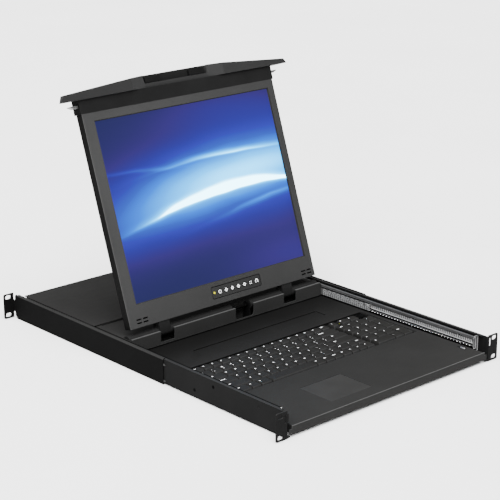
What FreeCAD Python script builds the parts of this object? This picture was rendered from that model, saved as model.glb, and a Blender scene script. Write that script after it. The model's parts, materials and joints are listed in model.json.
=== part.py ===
import FreeCAD, Part
import math
import os
from FreeCAD import Placement, Rotation, Vector

# One-unit 19-inch rackmount console drawer: a sheet-metal drawer on ball-bearing
# slides with a keyboard, a touchpad and an LCD that folds up from the keyboard.
#
# Frame, in millimetres: X to the right, Y into the rack, Z up.  The origin is the
# middle of the front ears' face, half way between the two rows of rack holes.
# Left means -X, as the person at the keyboard sees it.

os.makedirs("parts", exist_ok=True)

# ---------------------------------------------------------------- rack interface
RACK_HOLE_SPAN = 465.1      # across the rack, between hole columns
RACK_HOLE_PITCH = 31.75     # between the two holes of one rack unit that are used
EAR_EDGE_X = 241.3          # half of 482.6, the 19-inch panel width
EAR_HALF_HEIGHT = 21.8
EAR_T = 2.0
EAR_SLOT_LENGTH = 11.0
EAR_SLOT_WIDTH = 7.0
REAR_EAR_Y = 677.0

# ---------------------------------------------------------------- side brackets
SHEET = 1.6
WEB_X = 221.2               # outer face of the front bracket
FRONT_TOP_Z = 19.2
FRONT_BOTTOM_Z = -20.4
FRONT_BRACKET_END_Y = 560.0
FRONT_TOP_FLANGE_X = 215.2  # free edge of the top flange
FRONT_BOTTOM_FLANGE_X = 213.5
FLANGE_START_Y = 12.0       # the top flange stops short, so that the latch can pass down
REAR_WEB_X = 223.1
REAR_START_Y = 273.0
REAR_WEB_END_Y = 671.0
REAR_FLANGE_X = 218.5
REAR_BEND = 2.2             # bevelled bend along the top of the rear bracket
NEST_GAP = 0.1              # between the nested bracket flanges
LUG_Z = (3.6, 16.7)
EAR_CUTOUT_X = 224.9        # outer edge of the upright opening beside the web
LUG_X = 216.9               # free edge of the lug that catches the latch

# ---------------------------------------------------------------- ball-bearing slides
RAIL_Z = 4.3                # middle height of the slides
RAIL_OUT_X = 219.6          # face on the bracket
RAIL_IN_X = 209.6           # free edges of the outer member
RAIL_HALF = 13.1
RAIL_T = 1.2
RAIL_START_Y = 22.0
RAIL_LENGTH = 500.0
MIDDLE_START_Y = 24.0
MIDDLE_LENGTH = 486.0
MIDDLE_X = 216.6            # outer face of the middle member
MIDDLE_HALF = 9.6
MIDDLE_T = 1.1
INNER_START_Y = 252.0
INNER_LENGTH = 396.0
INNER_HALF = 6.0
INNER_X = 209.0             # face on the drawer's side
INNER_TIP_X = 214.5
CAGE_X = 215.2              # outer face of the ball cage
CAGE_T = 0.35
BALL_X = 213.55
BALL_R = 1.2
BALL_PITCH = 7.0
BALL_ROW_Z = (MIDDLE_HALF - MIDDLE_T + INNER_HALF) / 2
BALLS_PER_ROW = 4
CAGE_Y = (27.0, 507.0)
RAIL_SCREWS_Y = (58.4, 157.7)
RAIL_SCREW_Z = RAIL_Z + 4.7
SCREW_R = 2.0
SCREW_HEAD_R = 3.2
SCREW_HEAD_T = 1.1

# ---------------------------------------------------------------- drawer
DRAWER_X = 209.0            # outer faces of the drawer's side walls
WALL_T = 1.2
FLOOR_Z = -17.3
DECK_Z = -4.0               # top of the keyboard deck
DECK_X = 208.5
LIP_X = 215.5
WALL_Y = 368.0              # front face of the hinge wall
WALL_TOP_Z = 19.5
BAY_END_Y = 392.0           # back of the hinge bay
RIM_TOP_Z = 17.0            # top of the side flanges of the rear housing
REAR_DECK_Z = 15.8
COVER_Y = 460.0
COVER_TOP_Z = 19.4
COVER_X = 213.0
DRAWER_END_Y = 657.0
DISH_X = (-128.0, 148.0)    # pressed recess behind the keyboard
DISH_Y = (290.0, 318.0)
DISH_DEPTH = 2.0
BOARD_X = (-142.0, -20.0)
BOARD_Y = (500.0, 650.0)
BOARD_Z = -10.0
BOARD_POSTS = [(x, y) for x in (BOARD_X[0] + 5, BOARD_X[1] - 5) for y in (BOARD_Y[0] + 5, BOARD_Y[1] - 15)]

# ---------------------------------------------------------------- keyboard and touchpad
KEYBOARD_X = (-187.0, 201.0)
KEYBOARD_Y = (135.5, 263.0)
KEY_TOP_Z = -2.6
KEY_PLATE_Z = -9.4
KEY_U = 19.1                # width of a one-unit key, with its gap
KEY_ROW = 20.0
KEY_GAP = 1.6
KEY_TAPER = 1.5
MAIN_BLOCK_X = -183.5
PAD_BLOCK_X = 114.5
PAD_U = 20.4
FIRST_ROW_Y = 138.2         # front edge of the space bar's row
FUNCTION_ROW_Y = 240.4
FUNCTION_ROW_DEPTH = 17.0
KEY_TRAVEL = 2.5
# Rows from the front back, in key units; a negative width is a place that another node fills.
BOTTOM_ROW = (1.3, 1.0, 1.18, -5.0, 1.0, 1.0, 1.0, 1.0, 0.9, 0.9, 0.92)
SHIFT_ROW = (-2.25,) + (1.0,) * 10 + (1.13, 0.9, 0.92)
HOME_ROW = (1.75,) + (1.0,) * 11 + (-2.45,)
UPPER_ROW = (1.5,) + (1.0,) * 12 + (1.7,)
NUMBER_ROW = (1.0,) * 13 + (-2.2,)
FUNCTION_ROW = (-0.95,) + (0.95,) * 15
MAIN_ROWS = (BOTTOM_ROW, SHIFT_ROW, HOME_ROW, UPPER_ROW, NUMBER_ROW)
TOUCHPAD_X = (-107.4, -22.0)
TOUCHPAD_Y = (24.0, 91.6)

# ---------------------------------------------------------------- LCD
HINGE_Y = 382.1
HINGE_Z = 13.5
LEAN = 18.9                 # how far the opened LCD leans back from upright
# LCD lengths below run from the hinge axis: "up" along the panel, "out" off its face.
FACE_OUT = 12.0
PANEL_T = 17.0
BEZEL_T = 2.0
SHELL_T = 1.2
PANEL_HALF_X = 202.5
PANEL_UP = 16.5
BEZEL_TOP_UP = 364.0
STRIP_TOP_UP = 387.0
STRIP_HALF_X = 205.0
SCREEN_X = (-182.0, 189.0)
SCREEN_UP = (52.5, 350.5)
OSD_CENTRE = (25.5, 35.7)
OSD_SIZE = (109.0, 21.0)
SPEAKER_X = (-177.0, 184.0)
SPEAKER_UP = 26.0
OSD_PITCH = 13.6
OSD_FIRST_X = -10.7
BUTTON_R = 4.4
BARREL_R = 8.0
SHAFT_R = 3.0
SHAFT_CLEARANCE = 0.05
ARM_X = 135.0
ARM_WIDTH = 22.0
ARM_GAP = 28.0
CABLE_GAP_X = (11.0, 51.0)

# ---------------------------------------------------------------- handle and latches
HANDLE_HALF_X = 240.5
HANDLE_T = 23.0
HANDLE_OUT = 16.0
HANDLE_SHOULDER = (235.0, 395.1)
HANDLE_CREST = (97.0, 406.3)
HANDLE_TOP = (67.0, 407.8)     # ends of the flat top
HANDLE_BACK_HALF_X = 223.0     # the ends slant in towards the back
SETBACK_X = (67.0, 97.0)       # the middle of the front face lies back between these ramps
SETBACK_OUT = 9.0
LATCH_UP = (374.3, 378.6)
LATCH_OUT = (-1.3, 9.1)
LATCH_TIP_X = 219.2
LATCH_STROKE = 3.4
LATCH_GAP = 0.4
LATCH_ROD_OUT = (2.6, 5.0)
THUMB_ARM_X = (42.0, 50.0)
THUMB_PAD_X = (30.0, 63.0)
THUMB_PAD_TOP = 404.5
THUMB_PAD_OUT = 7.0
RECESS_HALF_X = 66.0
RECESS_UP = 394.0
RECESS_OUT = 2.0


# ================================================================ helpers
def box(x, y, z):
    """Box between the two ends given for each axis."""
    low = Vector(min(x), min(y), min(z))
    size = Vector(max(x), max(y), max(z)) - low
    return Part.makeBox(size.x, size.y, size.z, low)


def prism_x(points, x):
    """Extrude a closed outline of (y, z) points from x[0] to x[1]."""
    wire = Part.makePolygon([Vector(min(x), y, z) for y, z in points + points[:1]])
    return Part.Face(wire).extrude(Vector(max(x) - min(x), 0, 0))


def prism_y(points, y):
    """Extrude a closed outline of (x, z) points from y[0] to y[1]."""
    wire = Part.makePolygon([Vector(x, min(y), z) for x, z in points + points[:1]])
    return Part.Face(wire).extrude(Vector(0, max(y) - min(y), 0))


def prism_z(points, z):
    """Extrude a closed outline of (x, y) points from z[0] to z[1]."""
    wire = Part.makePolygon([Vector(x, y, min(z)) for x, y in points + points[:1]])
    return Part.Face(wire).extrude(Vector(0, 0, max(z) - min(z)))


def rod(centre, radius, length, direction):
    return Part.makeCylinder(radius, length, Vector(*centre), Vector(*direction))


def faceted_rod(foot, radius, length, direction, sides=12):
    """Rod or hole of many flats round a circle of this radius, for small hidden rounds."""
    reach = radius / math.cos(math.pi / sides)
    turns = [2 * math.pi * (step + 0.5) / sides for step in range(sides)]
    corners = [(reach * math.cos(turn), reach * math.sin(turn)) for turn in turns]
    post = prism_z(corners, (0, length))
    post.Placement = Placement(Vector(*foot), Rotation(Vector(0, 0, 1), Vector(*direction)))
    return post


def slot_y(x, z, length, width, y):
    """Round-ended slot along X, cut through from y[0] to y[1]."""
    half = (length - width) / 2
    depth = max(y) - min(y)
    middle = box((x - half, x + half), y, (z - width / 2, z + width / 2))
    ends = [rod((x + end, min(y), z), width / 2, depth, (0, 1, 0)) for end in (-half, half)]
    return middle.fuse(ends)


def rounded_edges(shape, radius, direction, where=lambda point: True):
    """Fillet the straight edges that run along a direction and pass a test."""
    edges = []
    for edge in shape.Edges:
        if len(edge.Vertexes) != 2:
            continue
        span = edge.Vertexes[1].Point - edge.Vertexes[0].Point
        if span.Length > 1e-6 and span.cross(Vector(*direction)).Length < 1e-6 * span.Length:
            if where(edge.CenterOfMass):
                edges.append(edge)
    return shape.makeFillet(radius, edges)


def stacked(rings):
    """Flat-faced solid through rings of points that lie above one another."""
    count = len(rings[0])
    outlines = [rings[0][::-1], rings[-1]]
    for low, high in zip(rings, rings[1:]):
        for index in range(count):
            after = (index + 1) % count
            outlines.append([low[index], low[after], high[after], high[index]])
    faces = []
    for outline in outlines:
        points = [Vector(*point) for point in outline]
        faces.append(Part.Face(Part.makePolygon(points + points[:1])))
    return Part.Solid(Part.Shell(faces))


def mirrored(shape):
    return shape.mirror(Vector(0, 0, 0), Vector(1, 0, 0))


def save(name, *shapes):
    """Write one node; cuts come back as compounds, so their solids are taken out first."""
    solids = [solid for shape in shapes for solid in shape.Solids]
    whole = solids[0] if len(solids) == 1 else Part.makeCompound(solids)
    whole.exportStep("parts/" + name + ".step")


def save_pair(name, right):
    """Write a right-hand piece and its mirror image."""
    save(name + "_right", *right)
    save(name + "_left", *[mirrored(solid) for solid in right])


def on_lcd(shape):
    """Stand a piece drawn as (x, up, out) on the hinge axis, leaning back."""
    placed = shape.copy()
    placed.Placement = Placement(Vector(0, HINGE_Y, HINGE_Z),
                                 Rotation(Vector(1, 0, 0), 90 - LEAN)).multiply(placed.Placement)
    return placed


# ================================================================ side brackets
def ear(y, inner_x):
    """Right-hand mounting ear with its two slots and round outer corners."""
    plate = box((inner_x, EAR_EDGE_X), (y, y + EAR_T), (-EAR_HALF_HEIGHT, EAR_HALF_HEIGHT))
    plate = rounded_edges(plate, 3.0, (0, 1, 0), lambda point: point.x > EAR_EDGE_X - 1)
    for side in (-1, 1):
        hole = slot_y(RACK_HOLE_SPAN / 2, side * RACK_HOLE_PITCH / 2, EAR_SLOT_LENGTH,
                      EAR_SLOT_WIDTH, (y - 1, y + EAR_T + 1))
        plate = plate.cut(hole)
    return plate


def front_bracket():
    """Channel with a front ear and the lug behind which the drawer's latch snaps."""
    inner_x = WEB_X - SHEET
    web = box((inner_x, WEB_X), (0, FRONT_BRACKET_END_Y), (FRONT_BOTTOM_Z, FRONT_TOP_Z))
    top = box((FRONT_TOP_FLANGE_X, WEB_X), (FLANGE_START_Y, FRONT_BRACKET_END_Y),
              (FRONT_TOP_Z - SHEET, FRONT_TOP_Z))
    bottom = box((FRONT_BOTTOM_FLANGE_X, WEB_X), (0, FRONT_BRACKET_END_Y),
                 (FRONT_BOTTOM_Z, FRONT_BOTTOM_Z + SHEET))
    lug = box((LUG_X, WEB_X), (0, EAR_T), LUG_Z)
    bracket = web.fuse([top, bottom, ear(0, inner_x), lug])
    cutout = box((WEB_X, EAR_CUTOUT_X), (-1, EAR_T + 1), LUG_Z)
    bracket = bracket.cut(cutout)
    for y in RAIL_SCREWS_Y:
        bracket = bracket.cut(screw_round(inner_x - 1, y, SCREW_R, SHEET + 2))
    return bracket.removeSplitter()


def rear_bracket():
    """Channel that slides over the front bracket and ends in the rear ear."""
    inner_x = REAR_WEB_X - SHEET
    top_z = FRONT_TOP_Z + NEST_GAP + SHEET
    bottom_z = FRONT_BOTTOM_Z - NEST_GAP - SHEET
    outline = [(REAR_START_Y, bottom_z), (REAR_WEB_END_Y - 6, bottom_z),
               (REAR_WEB_END_Y, bottom_z + 6), (REAR_WEB_END_Y, -10.5),
               (REAR_EAR_Y + EAR_T, -10.5), (REAR_EAR_Y + EAR_T, 10.0),
               (REAR_WEB_END_Y, 10.0), (REAR_WEB_END_Y, top_z), (REAR_START_Y, top_z)]
    web = prism_x(outline, (inner_x, REAR_WEB_X))
    web = rounded_edges(web, 5.0, (1, 0, 0),
                        lambda point: point.y > REAR_WEB_END_Y - 1 and point.z > top_z - 1)
    flange_end = REAR_WEB_END_Y - 7
    top = box((REAR_FLANGE_X, REAR_WEB_X), (REAR_START_Y, flange_end), (top_z - SHEET, top_z))
    bottom = box((REAR_FLANGE_X, REAR_WEB_X), (REAR_START_Y, flange_end),
                 (bottom_z, bottom_z + SHEET))
    bracket = web.fuse([top, bottom, ear(REAR_EAR_Y, inner_x)])
    bend = prism_y([(REAR_WEB_X + 1, top_z + 1), (REAR_WEB_X - REAR_BEND, top_z + 1),
                    (REAR_WEB_X - REAR_BEND, top_z), (REAR_WEB_X, top_z - REAR_BEND),
                    (REAR_WEB_X + 1, top_z - REAR_BEND)], (REAR_START_Y - 1, REAR_WEB_END_Y - 6))
    return bracket.cut(bend).removeSplitter()


# ================================================================ slides
def screw_round(x, y, radius, length):
    """Shank, head or hole of a slide screw, with flats so that it stays light."""
    return faceted_rod((x, y, RAIL_SCREW_Z), radius, length, (1, 0, 0), 10)


def channel(back_x, tip_x, half, thick, lip, y):
    """C-section: a web at back_x, two arms to tip_x and lips turned to the middle."""
    step = math.copysign(thick, tip_x - back_x)
    inside = half - thick
    outline = [(back_x, -half), (tip_x, -half), (tip_x, -inside + lip), (tip_x - step, -inside + lip),
               (tip_x - step, -inside), (back_x + step, -inside), (back_x + step, inside),
               (tip_x - step, inside), (tip_x - step, inside - lip), (tip_x, inside - lip),
               (tip_x, half), (back_x, half)]
    section = prism_y([(x, RAIL_Z + z) for x, z in outline], y)
    return section


def rail_outer():
    y = (RAIL_START_Y, RAIL_START_Y + RAIL_LENGTH)
    rail = channel(RAIL_OUT_X, RAIL_IN_X, RAIL_HALF, RAIL_T, 1.5, y)
    rail = rounded_edges(rail, 0.9, (0, 1, 0),
                         lambda point: abs(abs(point.z - RAIL_Z) - RAIL_HALF) < 0.01)
    for hole_y in RAIL_SCREWS_Y:
        rail = rail.cut(screw_round(RAIL_OUT_X - 5, hole_y, SCREW_R, 6))
    # Tabbed openings in the web behind the screws, which lighten the member.
    for window_y in (220.0, 320.0, 420.0):
        window = box((RAIL_OUT_X - 5, RAIL_OUT_X + 1), (window_y, window_y + 24),
                     (RAIL_Z - 3, RAIL_Z + 3))
        rail = rail.cut(window)
    return rail


def rail_middle():
    y = (MIDDLE_START_Y, MIDDLE_START_Y + MIDDLE_LENGTH)
    rail = channel(MIDDLE_X, 210.9, MIDDLE_HALF, MIDDLE_T, 1.4, y)
    return rail.cut(screw_windows(MIDDLE_X - 3, MIDDLE_X + 1))


def screw_windows(near_x, far_x):
    """Square windows through which a driver reaches the outer member's screws."""
    z = (RAIL_SCREW_Z - 3.5, RAIL_SCREW_Z + 3.5)
    return [box((near_x, far_x), (y - 4, y + 4), z) for y in RAIL_SCREWS_Y]


def rail_inner():
    """Drawer member: its flat, perforated web is screwed to the drawer's side."""
    y = (INNER_START_Y, INNER_START_Y + INNER_LENGTH)
    rail = channel(INNER_X, INNER_TIP_X, INNER_HALF, MIDDLE_T, 0.4, y)
    for index in range(5):
        window_y = INNER_START_Y + 10 + index * 22
        length = 10 if index % 2 else 5
        window = box((INNER_X - 1, INNER_X + 2), (window_y, window_y + length),
                     (RAIL_Z - 2.5, RAIL_Z + 2.5))
        rail = rail.cut(window)
    return rail


def ball_places():
    """Middle of each modelled ball along Y, spread over the cage."""
    span = CAGE_Y[1] - CAGE_Y[0] - 2 * BALL_PITCH
    return [CAGE_Y[0] + BALL_PITCH + span * index / (BALLS_PER_ROW - 1)
            for index in range(BALLS_PER_ROW)]


def ball_cage():
    """Thin channel that spaces the balls between the middle and inner members."""
    high = BALL_ROW_Z + CAGE_T
    low = BALL_ROW_Z - CAGE_T
    tip = BALL_X - BALL_R - 0.2
    inside = CAGE_X - CAGE_T
    outline = [(CAGE_X, -high), (tip, -high), (tip, -low), (inside, -low), (inside, low),
               (tip, low), (tip, high), (CAGE_X, high)]
    cage = prism_y([(x, RAIL_Z + z) for x, z in outline], CAGE_Y)
    room = BALL_R + 0.1
    pockets = [box((BALL_X - room, BALL_X + room), (y - room, y + room),
                   (RAIL_Z - RAIL_HALF, RAIL_Z + RAIL_HALF)) for y in ball_places()]
    return cage.cut(pockets + screw_windows(CAGE_X - 1, CAGE_X + 1))


def ball(centre):
    """Six-sided ball, drawn as stacked rings so that it stays light."""
    x, y, z = centre
    rings = []
    for level in (-0.92, -0.38, 0.38, 0.92):
        radius = BALL_R * math.sqrt(1 - level * level)
        angles = [math.radians(60 * step) for step in range(6)]
        rings.append([(x + radius * math.cos(a), y + radius * math.sin(a), z + BALL_R * level)
                      for a in angles])
    return stacked(rings)


def balls():
    places = [(y, side * BALL_ROW_Z) for side in (-1, 1) for y in ball_places()]
    return [ball((BALL_X, y, RAIL_Z + z)) for y, z in places]


def slide_screws():
    """Low-headed screws that hold the outer member to the bracket's web."""
    face = RAIL_OUT_X - RAIL_T
    solids = []
    for y in RAIL_SCREWS_Y:
        head = screw_round(face - SCREW_HEAD_T, y, SCREW_HEAD_R, SCREW_HEAD_T)
        shank = screw_round(face, y, SCREW_R, WEB_X - face)
        solids.append(head.fuse(shank).removeSplitter())
    return solids


# ================================================================ drawer
def drawer_pan():
    """Folded base: floor, low side walls in front, high ones round the rear housing."""
    inner = DRAWER_X - WALL_T
    floor = box((-DRAWER_X, DRAWER_X), (WALL_T, DRAWER_END_Y), (FLOOR_Z, FLOOR_Z + WALL_T))
    solids = []
    for side in (-1, 1):
        low = box((side * inner, side * DRAWER_X), (WALL_T, WALL_Y), (FLOOR_Z, DECK_Z - WALL_T))
        high = box((side * inner, side * DRAWER_X), (WALL_Y, DRAWER_END_Y), (FLOOR_Z, RIM_TOP_Z))
        rim = box((side * 199.0, side * DRAWER_X), (BAY_END_Y, DRAWER_END_Y),
                  (RIM_TOP_Z - WALL_T, RIM_TOP_Z))
        solids += [low, high, rim]
    rear = box((-DRAWER_X, DRAWER_X), (DRAWER_END_Y - WALL_T, DRAWER_END_Y), (FLOOR_Z, RIM_TOP_Z))
    for x, y in BOARD_POSTS:
        solids.append(faceted_rod((x, y, FLOOR_Z), 2.6, BOARD_Z - FLOOR_Z, (0, 0, 1), 6))
    pan = floor.fuse(solids + [rear]).removeSplitter()
    cuts = [rod((-DRAWER_X - 1, HINGE_Y, HINGE_Z), SHAFT_R + SHAFT_CLEARANCE, 2 * DRAWER_X + 2,
                (1, 0, 0))]
    cuts += [connector[1] for connector in rear_openings()]
    for index in range(8):
        x = 70.0 + index * 11.0
        vent = box((x, x + 5), (DRAWER_END_Y - 2, DRAWER_END_Y + 1), (-9, 9))
        cuts.append(vent)
    return pan.cut(cuts)


def rear_openings():
    """Name and cutter of each socket opening in the rear panel."""
    y = (DRAWER_END_Y - 2, DRAWER_END_Y + 1)
    return [("power", box((-178, -150), y, (-10, 10))),
            ("video", box((-106, -76), y, (-6, 6))),
            ("usb", box((-50, -38), y, (-5.5, 5.5)))]


def keyboard_deck():
    """Plate over the pan: keyboard and touchpad openings, front lip, pen recess."""
    under = DECK_Z - WALL_T
    plate = box((-DECK_X, DECK_X), (0, WALL_Y), (under, DECK_Z))
    lip_low = box((-LIP_X, LIP_X), (0, WALL_T), (FLOOR_Z, DECK_Z - 5))
    lip = box((-LIP_X + 5, LIP_X - 5), (0, WALL_T), (DECK_Z - 6, DECK_Z))
    deck = plate.fuse([lip_low, lip])
    keyboard = box(KEYBOARD_X, KEYBOARD_Y, (under - 1, DECK_Z + 1))
    touchpad = box(TOUCHPAD_X, TOUCHPAD_Y, (under - 1, DECK_Z + 1))
    deck = deck.cut([rounded_edges(keyboard, 2.0, (0, 0, 1)),
                     rounded_edges(touchpad, 1.5, (0, 0, 1))])
    # The pressed recess behind the keyboard: a shallow dish with its own floor.
    dish_out = box(DISH_X, DISH_Y, (under - DISH_DEPTH, DECK_Z))
    dish_in = box((DISH_X[0] + WALL_T, DISH_X[1] - WALL_T), (DISH_Y[0] + WALL_T, DISH_Y[1] - WALL_T),
                  (DECK_Z - DISH_DEPTH, DECK_Z + 1))
    deck = deck.fuse(dish_out).cut(rounded_edges(dish_in, 2.5, (0, 0, 1)))
    for side in (-1, 1):
        deck = deck.cut(box((side * 197.6, side * 200.4), (31, 43), (under - 1, DECK_Z + 1)))
    deck = rounded_edges(deck.removeSplitter(), 0.8, (1, 0, 0),
                         lambda point: abs(point.y) < 0.01 and point.z > DECK_Z - 0.01)
    return deck


def hinge_wall():
    """Upright wall between keyboard and hinge bay, notched for the arms and the cable."""
    wall = box((-DRAWER_X + WALL_T, DRAWER_X - WALL_T), (WALL_Y, WALL_Y + WALL_T),
               (FLOOR_Z + WALL_T, WALL_TOP_Z))
    top = box((-DRAWER_X + WALL_T, DRAWER_X - WALL_T), (WALL_Y, WALL_Y + 3.6),
              (WALL_TOP_Z - WALL_T, WALL_TOP_Z))
    foot = box((-DRAWER_X + WALL_T, DRAWER_X - WALL_T), (WALL_Y - 3, WALL_Y + WALL_T),
               (DECK_Z, DECK_Z + 1))
    wall = wall.fuse([top, foot])
    wall = rounded_edges(wall.removeSplitter(), 0.8, (1, 0, 0),
                         lambda point: abs(point.y - WALL_Y) < 0.01 and point.z > WALL_TOP_Z - 0.1)
    for side in (-1, 1):
        gap = box((side * (ARM_X - ARM_GAP / 2), side * (ARM_X + ARM_GAP / 2)),
                  (WALL_Y - 1, WALL_Y + 5), (1.0, WALL_TOP_Z + 1))
        wall = wall.cut(gap)
    cable = box(CABLE_GAP_X, (WALL_Y - 1, WALL_Y + 5), (-1.0, WALL_TOP_Z + 1))
    wall = wall.cut(rounded_edges(cable, 5.0, (0, 1, 0), lambda point: point.z < 0))
    return wall


def hinge_deck():
    """Deck between the hinge bay and the rear cover, turned down at the bay."""
    inner = DRAWER_X - WALL_T
    top = box((-inner, inner), (BAY_END_Y, COVER_Y + 8), (REAR_DECK_Z - WALL_T, REAR_DECK_Z))
    face = box((-inner, inner), (BAY_END_Y, BAY_END_Y + WALL_T), (FLOOR_Z + WALL_T, REAR_DECK_Z))
    deck = top.fuse(face).removeSplitter()
    return rounded_edges(deck, 0.8, (1, 0, 0),
                         lambda point: abs(point.y - BAY_END_Y) < 0.01 and point.z > 0)


def rear_cover():
    under = COVER_TOP_Z - WALL_T
    plate = box((-COVER_X, COVER_X), (COVER_Y, DRAWER_END_Y), (under, COVER_TOP_Z))
    hem_z = (RIM_TOP_Z, under)
    hems = [box((-198.8, 198.8), (COVER_Y, COVER_Y + WALL_T), (REAR_DECK_Z, under))]
    for side in (-1, 1):
        hems.append(box((side * 204, side * 205.2), (COVER_Y, DRAWER_END_Y - WALL_T), hem_z))
    hems.append(box((-205.2, 205.2), (DRAWER_END_Y - WALL_T, DRAWER_END_Y), hem_z))
    return plate.fuse(hems)


def controller_board():
    """Circuit board of the video and keyboard controller, with its main parts."""
    board = box(BOARD_X, BOARD_Y, (BOARD_Z, BOARD_Z + 1.6))
    top = BOARD_Z + 1.6
    chip = box((-120, -92), (560, 588), (top, top + 3))
    sink = box((-122, -90), (558, 590), (top + 3, top + 5))
    fins = [box((x, x + 1.2), (558, 590), (top + 5, top + 14)) for x in range(-121, -92, 5)]
    cans = [faceted_rod((x, 520, top), 4, 11, (0, 0, 1)) for x in (-70, -52)]
    memory = [box((-132 + 18 * index, -120 + 18 * index), (540, 548), (top, top + 1.5))
              for index in range(2)]
    return [board, chip.fuse([sink] + fins).removeSplitter()] + cans + memory


def power_supply():
    """Folded metal case of the supply, with slots in its lid."""
    case = box((60, 170), (500, 645), (FLOOR_Z + WALL_T, 11))
    case = rounded_edges(case, 1.0, (0, 1, 0), lambda point: point.z > 10)
    inside = box((61, 169), (501, 644), (FLOOR_Z + WALL_T + 1, 10))
    slots = [box((75 + 12 * index, 79 + 12 * index), (520, 600), (9, 12)) for index in range(7)]
    return case.cut([inside] + slots)


def power_inlet():
    """Three-bladed mains inlet: body, flange outside the panel, open shroud."""
    body = box((-177.6, -150.4), (636, DRAWER_END_Y), (-9.6, 9.6))
    flange = box((-181, -147), (DRAWER_END_Y, DRAWER_END_Y + 2.5), (-12, 12))
    flange = rounded_edges(flange, 2.5, (0, 1, 0))
    mouth = box((-176, -152), (641, DRAWER_END_Y + 4), (-8, 8))
    mouth = rounded_edges(mouth, 3.5, (0, 1, 0), lambda point: point.z > 0)
    inlet = body.fuse(flange).cut(mouth)
    blades = [box((x - 1, x + 1), (640, 655), (z - 2, z + 2)) for x, z in
              ((-171, -2), (-164, 2), (-157, -2))]
    return inlet.fuse(blades).removeSplitter()


def video_socket():
    """Fifteen-way socket: block, slanted shell and two threaded posts."""
    block = box((-105.6, -76.4), (640, DRAWER_END_Y + 1), (-5.6, 5.6))
    outline = [(-99.4, 4.2), (-82.6, 4.2), (-84.2, -4.2), (-97.8, -4.2)]
    shell = prism_y(outline, (DRAWER_END_Y, DRAWER_END_Y + 6))
    inside = prism_y([(-98.5, 3.4), (-83.5, 3.4), (-85.0, -3.4), (-97.0, -3.4)],
                     (DRAWER_END_Y + 2, DRAWER_END_Y + 7))
    posts = [box((x - 2, x + 2), (DRAWER_END_Y, DRAWER_END_Y + 5), (-2.3, 2.3))
             for x in (-103.0, -79.0)]
    return block.fuse([shell] + posts).cut(inside).removeSplitter()


def usb_socket():
    """Square socket with a tongue in its mouth."""
    shell = box((-49.7, -38.3), (641, DRAWER_END_Y + 1), (-5.2, 5.2))
    mouth = box((-48.2, -39.8), (646, DRAWER_END_Y + 2), (-3.8, 3.8))
    tongue = box((-46.7, -41.3), (645, 655), (-1.6, 1.6))
    return shell.cut(mouth).fuse(tongue).removeSplitter()


def hinge_saddles():
    """Two upright plates on the pan that carry the shaft beside the cable gap."""
    solids = []
    for x in (CABLE_GAP_X[0] + 1.5, CABLE_GAP_X[1] - 3.5):
        plate = prism_x([(372, FLOOR_Z + WALL_T), (391, FLOOR_Z + WALL_T), (388, HINGE_Z + 5),
                         (376, HINGE_Z + 5)], (x, x + 2))
        plate = plate.cut(faceted_rod((x - 1, HINGE_Y, HINGE_Z), SHAFT_R, 4, (1, 0, 0)))
        solids.append(plate)
    return solids


# ================================================================ keyboard
def key(x, y, width, depth, top=KEY_TOP_Z, bottom=KEY_PLATE_Z):
    """Tapered keycap; x and y are its cell's left and front edges."""
    gap = KEY_GAP / 2
    low = [(x + gap, y + gap), (x + width - gap, y + gap),
           (x + width - gap, y + depth - gap), (x + gap, y + depth - gap)]
    inset = KEY_TAPER
    high = [(x + gap + inset, y + gap + inset * 0.5), (x + width - gap - inset, y + gap + inset * 0.5),
            (x + width - gap - inset, y + depth - gap - inset),
            (x + gap + inset, y + depth - gap - inset)]
    return stacked([[(px, py, bottom) for px, py in low], [(px, py, top) for px, py in high]])


def row_of_keys(widths, x, y, depth=KEY_ROW, unit=KEY_U):
    """Keys side by side; a negative width is a place that another node fills."""
    keys = []
    for width in widths:
        if width > 0:
            keys.append(key(x, y, width * unit, depth))
        x += abs(width) * unit
    return keys


def movable_key(row, index, widths):
    """Cell (x, y, width, depth) of the key that a row leaves out."""
    x = MAIN_BLOCK_X + KEY_U * sum(abs(width) for width in widths[:index])
    depth = FUNCTION_ROW_DEPTH if row == 5 else KEY_ROW
    y = FUNCTION_ROW_Y if row == 5 else FIRST_ROW_Y + row * KEY_ROW
    return x, y, abs(widths[index]) * KEY_U, depth


MOVABLE_KEYS = {"space_bar": movable_key(0, 3, BOTTOM_ROW),
                "shift_key": movable_key(1, 0, SHIFT_ROW),
                "enter_key": movable_key(2, 12, HOME_ROW),
                "backspace_key": movable_key(4, 13, NUMBER_ROW),
                "escape_key": movable_key(5, 0, FUNCTION_ROW)}


def plunger_keys():
    """The keys that are pieces of their own, each on a square plunger."""
    pieces = {}
    for name, (x, y, width, depth) in MOVABLE_KEYS.items():
        cap = key(x, y, width, depth, bottom=KEY_PLATE_Z + KEY_TRAVEL + 0.3)
        stem = box((x + width / 2 - 3, x + width / 2 + 3), (y + depth / 2 - 3, y + depth / 2 + 3),
                   (KEY_PLATE_Z - 1.4, KEY_PLATE_Z + KEY_TRAVEL + 1))
        pieces[name] = cap.fuse(stem).removeSplitter()
    return pieces


def keyboard_led():
    """Lock lamp in the gap beside the right block's first small key."""
    centre = (PAD_BLOCK_X + 0.83 * PAD_U, FUNCTION_ROW_Y + 5.0)
    return box((centre[0] - 1.4, centre[0] + 1.4), (centre[1] - 1.4, centre[1] + 1.4),
               (KEY_PLATE_Z, KEY_TOP_Z - 0.6))


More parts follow.
